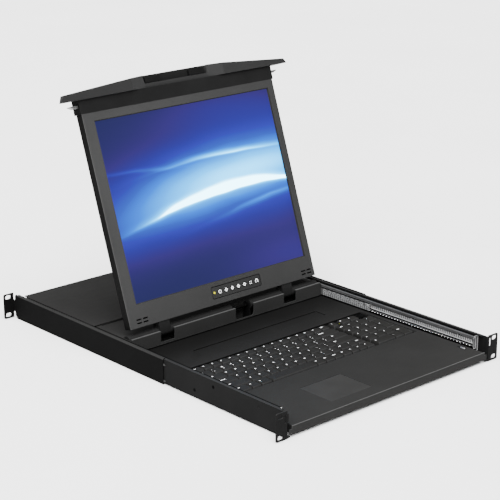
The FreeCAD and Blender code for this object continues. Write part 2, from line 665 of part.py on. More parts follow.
def keyboard_base():
    """Plate that the keys stand on, with a rim that meets the deck from below."""
    x = (KEYBOARD_X[0] - 3, KEYBOARD_X[1] + 3)
    y = (KEYBOARD_Y[0] - 3, KEYBOARD_Y[1] + 3)
    outside = box(x, y, (KEY_PLATE_Z - 1.2, DECK_Z - WALL_T))
    inside = box((KEYBOARD_X[0] - 1, KEYBOARD_X[1] + 1), (KEYBOARD_Y[0] - 1, KEYBOARD_Y[1] + 1),
                 (KEY_PLATE_Z, DECK_Z))
    base = outside.cut(inside)
    holes = []
    for left, front, width, depth in MOVABLE_KEYS.values():
        middle = (left + width / 2, front + depth / 2)
        holes.append(box((middle[0] - 3.4, middle[0] + 3.4), (middle[1] - 3.4, middle[1] + 3.4),
                         (KEY_PLATE_Z - 2, KEY_PLATE_Z + 1)))
    return base.cut(holes)


def pad_keys():
    """Numeric block: rows of four, with the tall plus and enter keys at the right."""
    keys = []
    for row in range(5):
        y = FIRST_ROW_Y + row * KEY_ROW
        if row == 0:
            keys += row_of_keys((2.0, 1.0), PAD_BLOCK_X, y, unit=PAD_U)
        else:
            keys += row_of_keys((1.0, 1.0, 1.0), PAD_BLOCK_X, y, unit=PAD_U)
    right = PAD_BLOCK_X + 3 * PAD_U
    keys.append(key(right, FIRST_ROW_Y, PAD_U, 2 * KEY_ROW))
    keys.append(key(right, FIRST_ROW_Y + 2 * KEY_ROW, PAD_U, 2 * KEY_ROW))
    keys.append(key(right, FIRST_ROW_Y + 4 * KEY_ROW, PAD_U, KEY_ROW))
    keys += row_of_keys((0.66, -0.34, 1.0, 1.0), PAD_BLOCK_X, FUNCTION_ROW_Y, FUNCTION_ROW_DEPTH,
                        PAD_U)
    return keys


# ================================================================ LCD
def lcd_shell():
    """Rear cover of the LCD: an open box behind the bezel and the handle strip."""
    back = FACE_OUT - PANEL_T
    outside = box((-PANEL_HALF_X, PANEL_HALF_X), (PANEL_UP, BEZEL_TOP_UP),
                  (back, FACE_OUT - BEZEL_T))
    outside = rounded_edges(outside, 1.5, (1, 0, 0), lambda point: point.z < back + 0.1)
    outside = rounded_edges(outside, 1.4, (0, 1, 0), lambda point: point.z < back + 0.1)
    inside = box((-PANEL_HALF_X + SHELL_T, PANEL_HALF_X - SHELL_T),
                 (PANEL_UP + SHELL_T, BEZEL_TOP_UP - SHELL_T), (back + SHELL_T, FACE_OUT))
    vents = [box((side * x, side * (x + 4)), (318, 346), (back - 1, back + SHELL_T + 1))
             for side in (-1, 1) for x in range(60, 132, 10)]
    return outside.cut([inside] + vents)


def lcd_bezel():
    bezel = box((-PANEL_HALF_X, PANEL_HALF_X), (PANEL_UP, BEZEL_TOP_UP),
                (FACE_OUT - BEZEL_T, FACE_OUT))
    screen = box(SCREEN_X, SCREEN_UP, (FACE_OUT - 3, FACE_OUT + 1))
    x, up = OSD_CENTRE
    panel = box((x - OSD_SIZE[0] / 2, x + OSD_SIZE[0] / 2), (up - OSD_SIZE[1] / 2, up + OSD_SIZE[1] / 2),
                (FACE_OUT - 3, FACE_OUT + 1))
    cuts = [screen, rounded_edges(panel, 3.0, (0, 0, 1))]
    for x in SPEAKER_X:
        for column in (-1, 1):
            for row in (-1, 1):
                middle = (x + 6.5 * column, SPEAKER_UP + 2.75 * row)
                cuts.append(box((middle[0] - 5, middle[0] + 5), (middle[1] - 1.2, middle[1] + 1.2),
                                (FACE_OUT - 3, FACE_OUT + 1)))
    return bezel.cut(cuts)


def lcd_screen():
    """Glass and frame of the display module, just behind the bezel's opening."""
    margin = 3.0
    return box((SCREEN_X[0] - margin, SCREEN_X[1] + margin),
               (SCREEN_UP[0] - margin, SCREEN_UP[1] + margin), (2.0, FACE_OUT - BEZEL_T))


def osd_panel():
    x, up = OSD_CENTRE
    panel = box((x - OSD_SIZE[0] / 2, x + OSD_SIZE[0] / 2), (up - OSD_SIZE[1] / 2, up + OSD_SIZE[1] / 2),
                (FACE_OUT - 2.0, FACE_OUT - 0.8))
    panel = rounded_edges(panel, 3.0, (0, 0, 1))
    holes = [faceted_rod((OSD_FIRST_X + index * OSD_PITCH, up, 8), BUTTON_R + 0.3, 5, (0, 0, 1))
             for index in range(7)]
    return panel.cut(holes)


def osd_button(index):
    centre = (OSD_FIRST_X + index * OSD_PITCH, OSD_CENTRE[1], FACE_OUT - 3.2)
    return faceted_rod(centre, BUTTON_R - 0.05, 2.8, (0, 0, 1), 24)


def hinge_arm():
    """Right-hand arm: a barrel on the shaft and a neck up to the LCD's lower edge."""
    x = (ARM_X - ARM_WIDTH / 2, ARM_X + ARM_WIDTH / 2)
    neck = prism_x([(-1, 7.9), (6, 10.5), (PANEL_UP, 10.5), (PANEL_UP, -4), (3, -7.4)], x)
    barrel = rod((x[0], 0, 0), BARREL_R, ARM_WIDTH, (1, 0, 0))
    bore = rod((x[0] - 1, 0, 0), SHAFT_R + SHAFT_CLEARANCE, ARM_WIDTH + 2, (1, 0, 0))
    return neck.fuse(barrel).cut(bore).removeSplitter()


def hinge_tubes():
    """Four lengths of rounded cover between and outside the arms."""
    solids = []
    arm = (ARM_X - ARM_WIDTH / 2, ARM_X + ARM_WIDTH / 2)
    for low, high in ((-207.0, -arm[1]), (-arm[0], CABLE_GAP_X[0]), (CABLE_GAP_X[1], arm[0]),
                      (arm[1], 207.0)):
        tube = rod((low, 0, 0), BARREL_R, high - low, (1, 0, 0))
        bore = faceted_rod((low - 1, 0, 0), SHAFT_R + SHAFT_CLEARANCE, high - low + 2, (1, 0, 0))
        solids.append(tube.cut(bore))
    return solids


def handle_strip():
    """Black beam behind the handle that houses the two latches."""
    back = FACE_OUT - PANEL_T - 1
    strip = box((-STRIP_HALF_X, STRIP_HALF_X), (BEZEL_TOP_UP, STRIP_TOP_UP), (back, FACE_OUT + 0.4))
    way_up = (LATCH_UP[0] - LATCH_GAP, LATCH_UP[1] + LATCH_GAP)
    for side in (-1, 1):
        pocket = box((side * 180, side * (STRIP_HALF_X + 1)), way_up,
                     (LATCH_OUT[0] - LATCH_GAP, LATCH_OUT[1] + LATCH_GAP))
        rod_way = box((side * (THUMB_ARM_X[0] - LATCH_STROKE - 0.6), side * 181), way_up,
                      (LATCH_ROD_OUT[0] - LATCH_GAP, LATCH_ROD_OUT[1] + LATCH_GAP))
        strip = strip.cut([pocket, rod_way, thumb_way(side, (LATCH_UP[1], STRIP_TOP_UP + 1))])
    return strip


def thumb_way(side, up):
    """Slot in which the arm of a thumb slide travels."""
    return box((side * (THUMB_ARM_X[0] - LATCH_STROKE - 0.6), side * (THUMB_ARM_X[1] + 0.6)), up,
               (LATCH_ROD_OUT[0] - LATCH_GAP, LATCH_ROD_OUT[1] + LATCH_GAP))


def handle():
    """Bowed pull bar, a full panel wide, whose set-back middle holds the latch slides."""
    outline = []
    for side in (-1, 1):
        points = [(side * HANDLE_HALF_X, STRIP_TOP_UP)]
        points += [(side * x, up) for x, up in (HANDLE_SHOULDER, HANDLE_CREST, HANDLE_TOP)]
        outline += points if side < 0 else points[::-1]
    back = HANDLE_OUT - HANDLE_T
    bar = prism_z(outline, (back, HANDLE_OUT))
    up = (STRIP_TOP_UP - 1, HANDLE_TOP[1] + 1)
    cuts = [prism_y([(-SETBACK_X[1], HANDLE_OUT + 0.01), (-SETBACK_X[0], SETBACK_OUT),
                       (SETBACK_X[0], SETBACK_OUT), (SETBACK_X[1], HANDLE_OUT + 0.01)], up)]
    for side in (-1, 1):
        cuts.append(prism_y([(side * HANDLE_HALF_X, HANDLE_OUT - 3), (side * 245, HANDLE_OUT - 3),
                               (side * 245, back - 1), (side * HANDLE_BACK_HALF_X, back - 1)], up))
        cuts.append(thumb_way(side, (STRIP_TOP_UP - 1, RECESS_UP + 1)))
    cuts.append(prism_z([(-RECESS_HALF_X, RECESS_UP), (RECESS_HALF_X, RECESS_UP),
                         (RECESS_HALF_X + 3, HANDLE_TOP[1] + 1), (-RECESS_HALF_X - 3, HANDLE_TOP[1] + 1)],
                        (RECESS_OUT, HANDLE_OUT)))
    # The bar is a hollow section, closed at both ends by its slanted caps.
    cuts.append(box((-212, 212), (STRIP_TOP_UP + 2, RECESS_UP - 1.5), (back + 2, LATCH_ROD_OUT[0] + 1)))
    return bar.cut(cuts)


def latch():
    """Right-hand latch: wedge-nosed tongue, the bar behind it and its thumb slide."""
    low, high = LATCH_UP
    tongue = prism_z([(184, low), (212, low), (LATCH_TIP_X, high - 1.2), (LATCH_TIP_X, high),
                      (184, high)], LATCH_OUT)
    hollow = prism_z([(207, low - 1), (211.3, low - 1), (216.6, high - 1.1), (207, high - 1.1)],
                     (LATCH_OUT[0] + 1.2, LATCH_OUT[1] - 1.2))
    bar = box((THUMB_ARM_X[0], 190), (low, high), LATCH_ROD_OUT)
    arm = box(THUMB_ARM_X, (low, RECESS_UP + 6), LATCH_ROD_OUT)
    pad = box(THUMB_PAD_X, (RECESS_UP + 0.5, THUMB_PAD_TOP), (LATCH_ROD_OUT[0], THUMB_PAD_OUT))
    return tongue.cut(hollow).fuse([bar, arm, pad]).removeSplitter()


# ================================================================ build
save_pair("front_bracket", [front_bracket()])
save_pair("rear_bracket", [rear_bracket()])
save_pair("rail_outer", [rail_outer()])
save_pair("rail_middle", [rail_middle()])
save_pair("rail_inner", [rail_inner()])
save_pair("ball_cage", [ball_cage()])
save_pair("slide_balls", balls())
save_pair("slide_screws", slide_screws())

save("drawer_pan", drawer_pan())
save("keyboard_deck", keyboard_deck())
save("hinge_wall", hinge_wall())
save("hinge_deck", hinge_deck())
save("rear_cover", rear_cover())
save("hinge_saddles", *hinge_saddles())
save("controller_board", *controller_board())
save("power_supply", power_supply())
save("power_inlet", power_inlet())
save("video_socket", video_socket())
save("usb_socket", usb_socket())
save("hinge_shaft", rod((-208.6, HINGE_Y, HINGE_Z), SHAFT_R, 417.2, (1, 0, 0)))

save("keyboard_base", keyboard_base())
save("keyboard_led", keyboard_led())
main_keys = []
for row_index, row_widths in enumerate(MAIN_ROWS):
    main_keys += row_of_keys(row_widths, MAIN_BLOCK_X, FIRST_ROW_Y + row_index * KEY_ROW)
save("keys_main_block", *main_keys)
save("keys_function_row", *row_of_keys(FUNCTION_ROW, MAIN_BLOCK_X, FUNCTION_ROW_Y, FUNCTION_ROW_DEPTH))
save("keys_number_pad", *pad_keys())
for key_name, key_shape in plunger_keys().items():
    save(key_name, key_shape)
save("touchpad", rounded_edges(box((TOUCHPAD_X[0] + 0.3, TOUCHPAD_X[1] - 0.3),
                                   (TOUCHPAD_Y[0] + 0.3, TOUCHPAD_Y[1] - 0.3),
                                   (DECK_Z - WALL_T, DECK_Z - 0.3)), 1.2, (0, 0, 1)))
save("touchpad_board", box((TOUCHPAD_X[0] - 4, TOUCHPAD_X[1] + 4), (TOUCHPAD_Y[0] - 4, TOUCHPAD_Y[1] + 4),
                           (DECK_Z - WALL_T - 1.6, DECK_Z - WALL_T)))

save("lcd_shell", on_lcd(lcd_shell()))
save("lcd_bezel", on_lcd(lcd_bezel()))
save("lcd_screen", on_lcd(lcd_screen()))
save("osd_panel", on_lcd(osd_panel()))
save("power_led", on_lcd(rod((OSD_FIRST_X - OSD_PITCH + 1.5, OSD_CENTRE[1], FACE_OUT - 0.8), 1.3, 0.7,
                             (0, 0, 1))))
BUTTON_NAMES = ("power", "up", "down", "left", "right", "menu", "auto")
for button_index, button_name in enumerate(BUTTON_NAMES):
    save("osd_button_" + button_name, on_lcd(osd_button(button_index)))
save("hinge_arm_right", on_lcd(hinge_arm()))
save("hinge_arm_left", on_lcd(mirrored(hinge_arm())))
save("hinge_tubes", *[on_lcd(tube) for tube in hinge_tubes()])
save("handle_strip", on_lcd(handle_strip()))
save("handle", on_lcd(handle()))
save("latch_right", on_lcd(latch()))
save("latch_left", on_lcd(mirrored(latch())))
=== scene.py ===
import json
import math

import bmesh
import bpy
from mathutils import Matrix, Vector


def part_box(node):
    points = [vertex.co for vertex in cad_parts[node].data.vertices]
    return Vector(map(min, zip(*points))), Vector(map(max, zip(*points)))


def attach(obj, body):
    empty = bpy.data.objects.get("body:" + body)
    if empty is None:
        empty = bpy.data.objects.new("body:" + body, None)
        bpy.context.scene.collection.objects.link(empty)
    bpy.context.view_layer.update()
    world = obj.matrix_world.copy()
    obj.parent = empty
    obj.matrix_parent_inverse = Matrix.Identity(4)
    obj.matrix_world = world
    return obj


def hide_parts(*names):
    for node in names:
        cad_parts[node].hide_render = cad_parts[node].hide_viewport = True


# Looks for the rackmount console drawer.  Lengths in this script are millimetres until
# a mesh is made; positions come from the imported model's nodes and joints.

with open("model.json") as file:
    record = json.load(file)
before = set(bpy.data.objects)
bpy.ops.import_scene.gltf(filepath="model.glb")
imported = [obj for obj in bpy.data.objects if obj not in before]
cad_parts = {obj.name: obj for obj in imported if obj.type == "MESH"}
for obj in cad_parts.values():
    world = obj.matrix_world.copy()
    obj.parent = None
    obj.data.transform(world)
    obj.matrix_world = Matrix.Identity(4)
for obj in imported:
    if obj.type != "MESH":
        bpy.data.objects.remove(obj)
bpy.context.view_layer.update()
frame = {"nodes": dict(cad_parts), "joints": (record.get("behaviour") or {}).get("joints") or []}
nodes = frame["nodes"]
MM = 0.001

hinge = next(j for j in frame["joints"] if j["name"] == "lcd_hinge")
press = next(j for j in frame["joints"] if j["name"] == "osd_power_press")
OUT = -Vector(press["axis"]).normalized()
ACROSS = Vector((1, 0, 0))
UP = OUT.cross(ACROSS)
LCD = Matrix.Translation(Vector(hinge["pos_m"])) @ Matrix((ACROSS, UP, OUT)).transposed().to_4x4()
LCD_MM = LCD @ Matrix.Scale(MM, 4)
FLAT_MM = Matrix.Scale(MM, 4)


def box_of(points):
    """Lowest and highest corner of some points."""
    return (Vector([min(p[i] for p in points) for i in range(3)]),
            Vector([max(p[i] for p in points) for i in range(3)]))


def extent(node, matrix=FLAT_MM):
    """Lowest and highest corner of a node, in millimetres of the given frame."""
    back = matrix.inverted()
    return box_of([back @ v.co for v in nodes[node].data.vertices])


def loose_extents(node):
    """One extent for each separate solid of a node, in millimetres."""
    mesh = nodes[node].data
    index = {}
    owner = []
    for vertex in mesh.vertices:
        key = tuple(round(c * 1e6) for c in vertex.co)
        owner.append(index.setdefault(key, len(index)))
    parent = list(range(len(index)))

    def root(i):
        while parent[i] != i:
            parent[i] = parent[parent[i]]
            i = parent[i]
        return i

    for polygon in mesh.polygons:
        first = root(owner[polygon.vertices[0]])
        for vertex in polygon.vertices[1:]:
            parent[root(owner[vertex])] = first
            first = root(first)
    groups = {}
    for key, i in index.items():
        groups.setdefault(root(i), []).append(Vector(key) * 1e-3)
    return [box_of(points) for points in groups.values()]


# ---------------------------------------------------------------- materials
def new_material(name, color, rough, metal=0.0, **sockets):
    material = bpy.data.materials.new(name)
    material.use_nodes = True
    shader = material.node_tree.nodes["Principled BSDF"]
    shader.inputs["Base Color"].default_value = (*color, 1)
    shader.inputs["Roughness"].default_value = rough
    shader.inputs["Metallic"].default_value = metal
    for key, value in sockets.items():
        shader.inputs[key.replace("_", " ")].default_value = value
    return material, material.node_tree.nodes, material.node_tree.links, shader


def add_node(tree_nodes, kind, **settings):
    node = tree_nodes.new(kind)
    for key, value in settings.items():
        if key in node.inputs:
            node.inputs[key].default_value = value
        else:
            setattr(node, key, value)
    return node


def ramp(tree_nodes, stops):
    node = tree_nodes.new("ShaderNodeValToRGB")
    elements = node.color_ramp.elements
    for position, color in stops[2:]:
        elements.new(position)
    for element, (position, color) in zip(elements, sorted(stops)):
        element.position = position
        element.color = (*color, 1) if len(color) == 3 else color
    return node


def grey(level):
    return (level, level, level)


def shade(color, factor):
    return tuple(min(1.0, c * factor) for c in color)


def object_noise(tree_nodes, links, scale, detail=4.0, rough=0.55, stretch=(1, 1, 1)):
    coords = tree_nodes.new("ShaderNodeTexCoord")
    mapping = tree_nodes.new("ShaderNodeMapping")
    mapping.inputs["Scale"].default_value = stretch
    texture = tree_nodes.new("ShaderNodeTexNoise")
    texture.inputs["Scale"].default_value = scale
    texture.inputs["Detail"].default_value = detail
    texture.inputs["Roughness"].default_value = rough
    links.new(coords.outputs["Object"], mapping.inputs["Vector"])
    links.new(mapping.outputs["Vector"], texture.inputs["Vector"])
    return texture


def bump_from(tree_nodes, links, shader, source, strength, distance):
    bump = tree_nodes.new("ShaderNodeBump")
    bump.inputs["Strength"].default_value = strength
    bump.inputs["Distance"].default_value = distance
    links.new(source, bump.inputs["Height"])
    links.new(bump.outputs["Normal"], shader.inputs["Normal"])
    return bump


def toned(tree_nodes, links, texture, stops):
    """Colour ramp read from a texture's value."""
    tone = ramp(tree_nodes, stops)
    links.new(texture.outputs["Fac"], tone.inputs["Fac"])
    return tone.outputs["Color"]


def multiplied(tree_nodes, links, first, second):
    mix = add_node(tree_nodes, "ShaderNodeMix", data_type="RGBA", blend_type="MULTIPLY", Factor=1.0)
    links.new(first, mix.inputs[6])
    links.new(second, mix.inputs[7])
    return mix.outputs[2]


def vary_gloss(tree_nodes, links, shader, texture, low, high):
    """Roughness that runs from low to high with a texture's value."""
    gloss = add_node(tree_nodes, "ShaderNodeMapRange", **{"To Min": low, "To Max": high})
    links.new(texture.outputs["Fac"], gloss.inputs["Value"])
    links.new(gloss.outputs["Result"], shader.inputs["Roughness"])


def painted_light_ramp(tree_nodes, links, paint, axis, start, end, stops):
    """Painted light and shade: paint dimmed along one axis of the object; stops are (place, level)
    from start to end.
    """
    coords = tree_nodes.new("ShaderNodeTexCoord")
    split = tree_nodes.new("ShaderNodeSeparateXYZ")
    links.new(coords.outputs["Object"], split.inputs["Vector"])
    depth = add_node(tree_nodes, "ShaderNodeMapRange", **{"From Min": start, "From Max": end})
    links.new(split.outputs[axis], depth.inputs["Value"])
    shade_levels = ramp(tree_nodes, [(place, grey(level)) for place, level in stops])
    links.new(depth.outputs["Result"], shade_levels.inputs["Fac"])
    return multiplied(tree_nodes, links, paint, shade_levels.outputs["Color"])


def powder_coat(name, color, rough=0.5, grain=900.0, strength=0.25, variation=0.12, ior=1.2,
                painted_ramp=None):
    """Textured paint: fine orange-peel grain, slow tone drift, handling marks, an optional ramp of
    painted light and shade.
    """
    material, n, l, shader = new_material(name, color, rough, IOR=ior)
    drift = object_noise(n, l, 9.0, 5.0)
    fine = object_noise(n, l, grain, 2.0)
    smear = object_noise(n, l, 26.0, 6.0, 0.65, (1, 2.2, 1))
    tone = toned(n, l, drift, [(0.3, shade(color, 1 - variation)),
                               (0.7, shade(color, 1 + variation))])
    speck = toned(n, l, fine, [(0.42, grey(0.93)), (0.62, grey(1.08))])
    paint = multiplied(n, l, tone, speck)
    if painted_ramp:
        paint = painted_light_ramp(n, l, paint, *painted_ramp)
    l.new(paint, shader.inputs["Base Color"])
    vary_gloss(n, l, shader, smear, rough - 0.07, rough + 0.08)
    bump_from(n, l, shader, fine.outputs["Fac"], strength, 0.0002)
    return material


def plated_steel(name, color, rough=0.3, stretch=(1, 1, 1), scale=420.0, strength=0.15, metal=1.0):
    """Bright plated steel with rolling lines and cloudy zinc bloom."""
    material, n, l, shader = new_material(name, color, rough, metal)
    lines = object_noise(n, l, scale, 3.0, 0.6, stretch)
    bloom = object_noise(n, l, 38.0, 5.0)
    tone = toned(n, l, bloom, [(0.3, shade(color, 0.8)), (0.7, shade(color, 1.1))])
    l.new(tone, shader.inputs["Base Color"])
    vary_gloss(n, l, shader, lines, rough - 0.1, rough + 0.14)
    bump_from(n, l, shader, lines.outputs["Fac"], strength, 0.0001)
    return material


def moulded(name, color, rough=0.45, grain=1500.0, strength=0.12, ior=1.25):
    """Moulded plastic with a spark-eroded grain."""
    material, n, l, shader = new_material(name, color, rough, IOR=ior)
    fine = object_noise(n, l, grain, 2.0)
    drift = object_noise(n, l, 30.0, 4.0)
    tone = toned(n, l, drift, [(0.3, shade(color, 0.9)), (0.7, shade(color, 1.12))])
    l.new(tone, shader.inputs["Base Color"])
    vary_gloss(n, l, shader, drift, rough - 0.06, rough + 0.06)
    bump_from(n, l, shader, fine.outputs["Fac"], strength, 0.0001)
    return material


def glowing(name, color, strength, rough, scale, detail, stops):
    """Lit lens or ink: one clouded tone for the surface and for its glow; the ink's glow is painted
    light.
    """
    material, n, l, shader = new_material(name, color, rough)
    tone = toned(n, l, object_noise(n, l, scale, detail), stops)
    l.new(tone, shader.inputs["Base Color"])
    l.new(tone, shader.inputs["Emission Color"])
    shader.inputs["Emission Strength"].default_value = strength
    return material


def lamp(name, color, strength):
    stops = [(0.3, shade(color, 0.75)), (0.7, shade(color, 1.15))]
    return glowing(name, color, strength, 0.25, 600.0, 2.0, stops)


def ink_with_glow(name, color, strength):
    stops = [(0.25, shade(color, 0.8)), (0.5, color)]
    return glowing(name, color, strength, 0.5, 300.0, 4.0, stops)


BRACKET = powder_coat("bracket_coat", grey(0.0062), 0.5, ior=1.05)
# Upward faces of the brackets take this lighter coat: a painted highlight.
BRACKET_TOP_HIGHLIGHT = powder_coat("bracket_top_highlight_coat", (0.0135, 0.0135, 0.0133), 0.5, ior=1.08)
BRACKET_REAR = powder_coat("rear_bracket_coat", grey(0.0032), 0.5, ior=1.04)
# Near-black for black screw caps; also painted shade in the retainer's screw windows, the catch's
# hole and the lanced stop's opening.
BLACK_CAP_AND_SHADE = powder_coat("black_cap_and_painted_shade_coat", grey(0.0006), 0.6, ior=1.05)
TAB = powder_coat("tab_coat", grey(0.019), 0.4, ior=1.2)
# The deck darkens from front to back: painted shadow of the raised screen.
DECK_PAINTED_SHADOW = ("Y", 0.0, 0.37, ((0.0, 1.0), (0.27, 0.90), (0.54, 0.80), (0.68, 0.64), (0.81, 0.47),
                             (0.90, 0.30), (1.0, 0.22)))
# The deck's edge coat is lighter: a painted highlight, strongest at the front edge.
DECK_EDGE_HIGHLIGHT_RAMP = ("Y", 0.0, 0.37, ((0.0, 1.0), (0.02, 0.4), (0.6, 0.3), (0.8, 0.15)))
# The bezel runs lighter at the left and darker at the right: painted light.
BEZEL_PAINTED_LIGHT = ("X", -0.215, 0.215, ((0.0, 1.12), (0.5, 1.0), (1.0, 0.80)))
DECK = powder_coat("deck_painted_shadow_coat", (0.0130, 0.0129, 0.0126), 0.58, 700.0, 0.6, 0.1, 1.08, DECK_PAINTED_SHADOW)
DECK_EDGE_HIGHLIGHT = powder_coat("deck_edge_highlight_coat", grey(0.042), 0.5, ior=1.2, painted_ramp=DECK_EDGE_HIGHLIGHT_RAMP)
COVER = powder_coat("cover_coat", (0.0124, 0.0123, 0.0121), 0.58, 700.0, 0.6, 0.1, 1.12)
WALL = powder_coat("wall_coat", (0.0168, 0.0168, 0.0166), 0.5, ior=1.06)
# Near-black for the wall's foot and the keyboard rim's gaps: painted shade.
SHADE_BLACK = powder_coat("painted_shade_black_coat", grey(0.0012), 0.6, ior=1.04)
# Lighter coat for the wall's top edge: a painted highlight.
WALL_TOP_HIGHLIGHT = powder_coat("wall_top_highlight_coat", grey(0.0300), 0.4, ior=1.2)
BEZEL = powder_coat("bezel_coat", (0.0200, 0.0200, 0.0199), 0.5, 1100.0, 0.4, 0.08, painted_ramp=BEZEL_PAINTED_LIGHT)
SHELL = powder_coat("shell_coat", grey(0.0026), 0.5, ior=1.06)
SHELL_BACK = powder_coat("shell_back_coat", (0.0190, 0.0190, 0.0188), 0.5, 700.0, 0.5, 0.1, 1.15)
HANDLE = powder_coat("handle_coat", grey(0.0130), 0.42, 1000.0, 0.2, 0.1, 1.2)
# Darker coat for the handle's recess: painted shade; lighter coat for its slanted borders: painted
# highlight.
HANDLE_RECESS_SHADE = powder_coat("handle_recess_shade_coat", grey(0.0062), 0.5, 1000.0, 0.2, 0.1, 1.06)
HANDLE_FACET_HIGHLIGHT = powder_coat("handle_facet_highlight_coat", grey(0.0152), 0.42, 1000.0, 0.2, 0.1, 1.2)
STRIP = moulded("strip_plastic", grey(0.0062), 0.5, ior=1.1)
TUBE = powder_coat("tube_coat", grey(0.0085), 0.5, ior=1.12)
SADDLE = powder_coat("saddle_coat", (0.0030, 0.0030, 0.0031), 0.55, ior=1.1)
KEYS = moulded("key_plastic", (0.0092, 0.0090, 0.0086), 0.5, 1400.0, 0.3, 1.10)
# Lighter plastic for the caps' front skirts: a painted highlight.
KEY_SKIRT_HIGHLIGHT = moulded("key_skirt_highlight", grey(0.0170), 0.5, 1400.0, 0.3, 1.10)
KEY_BED = moulded("key_bed", grey(0.0062), 0.6, ior=1.1)
PAD = moulded("touchpad_plastic", (0.0150, 0.0148, 0.0144), 0.45, 2400.0, 0.12, 1.15)
OSD = moulded("osd_plastic", grey(0.0165), 0.42, ior=1.15)
MARK_GAP = moulded("mark_gap", grey(0.0060), 0.42, ior=1.1)
BUTTON = moulded("button_plastic", grey(0.0130), 0.38, ior=1.12)
THUMB = moulded("thumb_plastic", grey(0.0042), 0.45, ior=1.12)
RAIL = plated_steel("rail_zinc", grey(0.125), 0.45, (1, 0.03, 1), metal=0.45)
# Near-black for the slides' top and bottom arms: painted shade.
RAIL_ARM_SHADE = powder_coat("rail_shade", grey(0.0012), 0.6, ior=1.04)
RAIL_INNER = plated_steel("inner_rail_zinc", grey(0.070), 0.42, (1, 0.05, 1), metal=0.4)
RIB = plated_steel("rib_steel", grey(0.60), 0.4, (1, 0.02, 1), 420.0, 0.08, 0.3)
STUD = plated_steel("stud_steel", grey(0.26), 0.4, (1, 0.02, 1), 420.0, 0.08, 0.3)
# Bright steel for the slides' forward-facing front ends: a painted highlight.
END_HIGHLIGHT_STEEL = plated_steel("end_highlight_steel", (0.46, 0.46, 0.465), 0.36, (1, 0.02, 1), 420.0, 0.08, 0.35)
BALL = plated_steel("ball_chrome", grey(0.85), 0.2)
SCREW = plated_steel("screw_zinc", (0.5, 0.5, 0.52), 0.35)
# Dark cross on the screw heads: painted shade of the cross recess.
CROSS_RECESS_SHADE = plated_steel("cross_recess_shade", (0.03, 0.03, 0.032), 0.45)
SHAFT = plated_steel("shaft_blued", grey(0.006), 0.5, (0.05, 1, 1))
LATCH = plated_steel("latch_steel", grey(0.24), 0.4, (1, 0.05, 1))
BOARD = moulded("board_mask", (0.008, 0.06, 0.02), 0.4)
SOCKET = plated_steel("socket_plate", (0.45, 0.45, 0.47), 0.35)
SOCKET_BLACK = moulded("socket_plastic", (0.006, 0.006, 0.0063), 0.5)


LED_YELLOW = lamp("lamp_yellow", (0.20, 0.185, 0.0002), 4.0)
LED_DIM = lamp("lamp_dim", (0.062, 0.068, 0.0009), 0.8)
# Dark lens of the lock window; also the dark line round the control plate, painted shade of its
# gap.
DARK_LENS_AND_SHADE = moulded("dark_lens_and_painted_shade", grey(0.0012), 0.4, 1400.0, 0.05, 1.08)
# Legend ink with a slight glow of its own: painted light.
GLOWING_INK = ink_with_glow("legend_ink_painted_glow", (0.86, 0.87, 0.88), 0.6)


# ---------------------------------------------------------------- mesh helpers
def finish_piece(piece, body, replaces=()):
    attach(piece, body)
    if replaces:
        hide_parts(*replaces)
    return piece


def object_of(name, bm, materials, smooth_angle=35):
    """Object of a finished bmesh, shaded smooth but for its sharp edges."""
    mesh = bpy.data.meshes.new(name)
    bm.to_mesh(mesh)
    bm.free()
    for material in materials if isinstance(materials, (list, tuple)) else [materials]:
        mesh.materials.append(material)
    mesh.polygons.foreach_set("use_smooth", [True] * len(mesh.polygons))
    mesh.set_sharp_from_angle(angle=math.radians(smooth_angle))
    piece = bpy.data.objects.new(name, mesh)
    bpy.context.scene.collection.objects.link(piece)
    return piece


def piece_from(name, bm, materials, matrix=FLAT_MM, smooth_angle=35):
    """Make an object of a bmesh drawn in millimetres of the given frame."""
    bmesh.ops.recalc_face_normals(bm, faces=bm.faces)
    bm.transform(matrix)
    return object_of(name, bm, materials, smooth_angle)


def soften(piece, width, segments=2, angle=32, finish=-1):
    bevel = piece.modifiers.new("edges", "BEVEL")
    bevel.width = width * MM
    bevel.material = finish
    bevel.segments = segments
    bevel.limit_method = "ANGLE"
    bevel.angle_limit = math.radians(angle)
    bevel.harden_normals = True
    return piece


def cad_copy(node, name, materials, body, width, segments=2, where=None, edge=-1):
    """The node's own form, edges broken; a test of centre and normal picks each face's finish."""
    bm = bmesh.new()
    bm.from_mesh(nodes[node].data)
    bmesh.ops.remove_doubles(bm, verts=bm.verts, dist=2e-6)
    bmesh.ops.dissolve_limit(bm, angle_limit=math.radians(1.0), verts=bm.verts, edges=bm.edges)
    bm.normal_update()
    for face in bm.faces:
        centre = face.calc_center_median() / MM
        face.material_index = int(where(centre, face.normal)) if where else 0
    piece = object_of(name, bm, materials)
    if width:
        soften(piece, width, segments, finish=edge)
    return finish_piece(piece, body, [node])


def outline_rounded(low, high, radius, steps=4):
    """Points of a rectangle with round corners, counter-clockwise."""
    points = []
    corners = ((high[0], high[1], 0), (low[0], high[1], 90), (low[0], low[1], 180),
               (high[0], low[1], 270))
    for x, y, start in corners:
        cx = x - radius if x == high[0] else x + radius
        cy = y - radius if y == high[1] else y + radius
        for step in range(steps + 1):
            a = math.radians(start + 90 * step / steps)
            points.append((cx + radius * math.cos(a), cy + radius * math.sin(a)))
    return points


def add_rings(bm, rings, cap_start=True, cap_end=True, material=0):
    """Skin a stack of closed rings of points."""
    loops = [[bm.verts.new(p) for p in ring] for ring in rings]
    faces = []
    for low, high in zip(loops, loops[1:]):
        count = len(low)
        for i in range(count):
            j = (i + 1) % count
            faces.append(bm.faces.new((low[i], low[j], high[j], high[i])))
    if cap_start:
        faces.append(bm.faces.new(loops[0][::-1]))
    if cap_end:
        faces.append(bm.faces.new(loops[-1]))
    for face in faces:
        face.material_index = material
    return loops


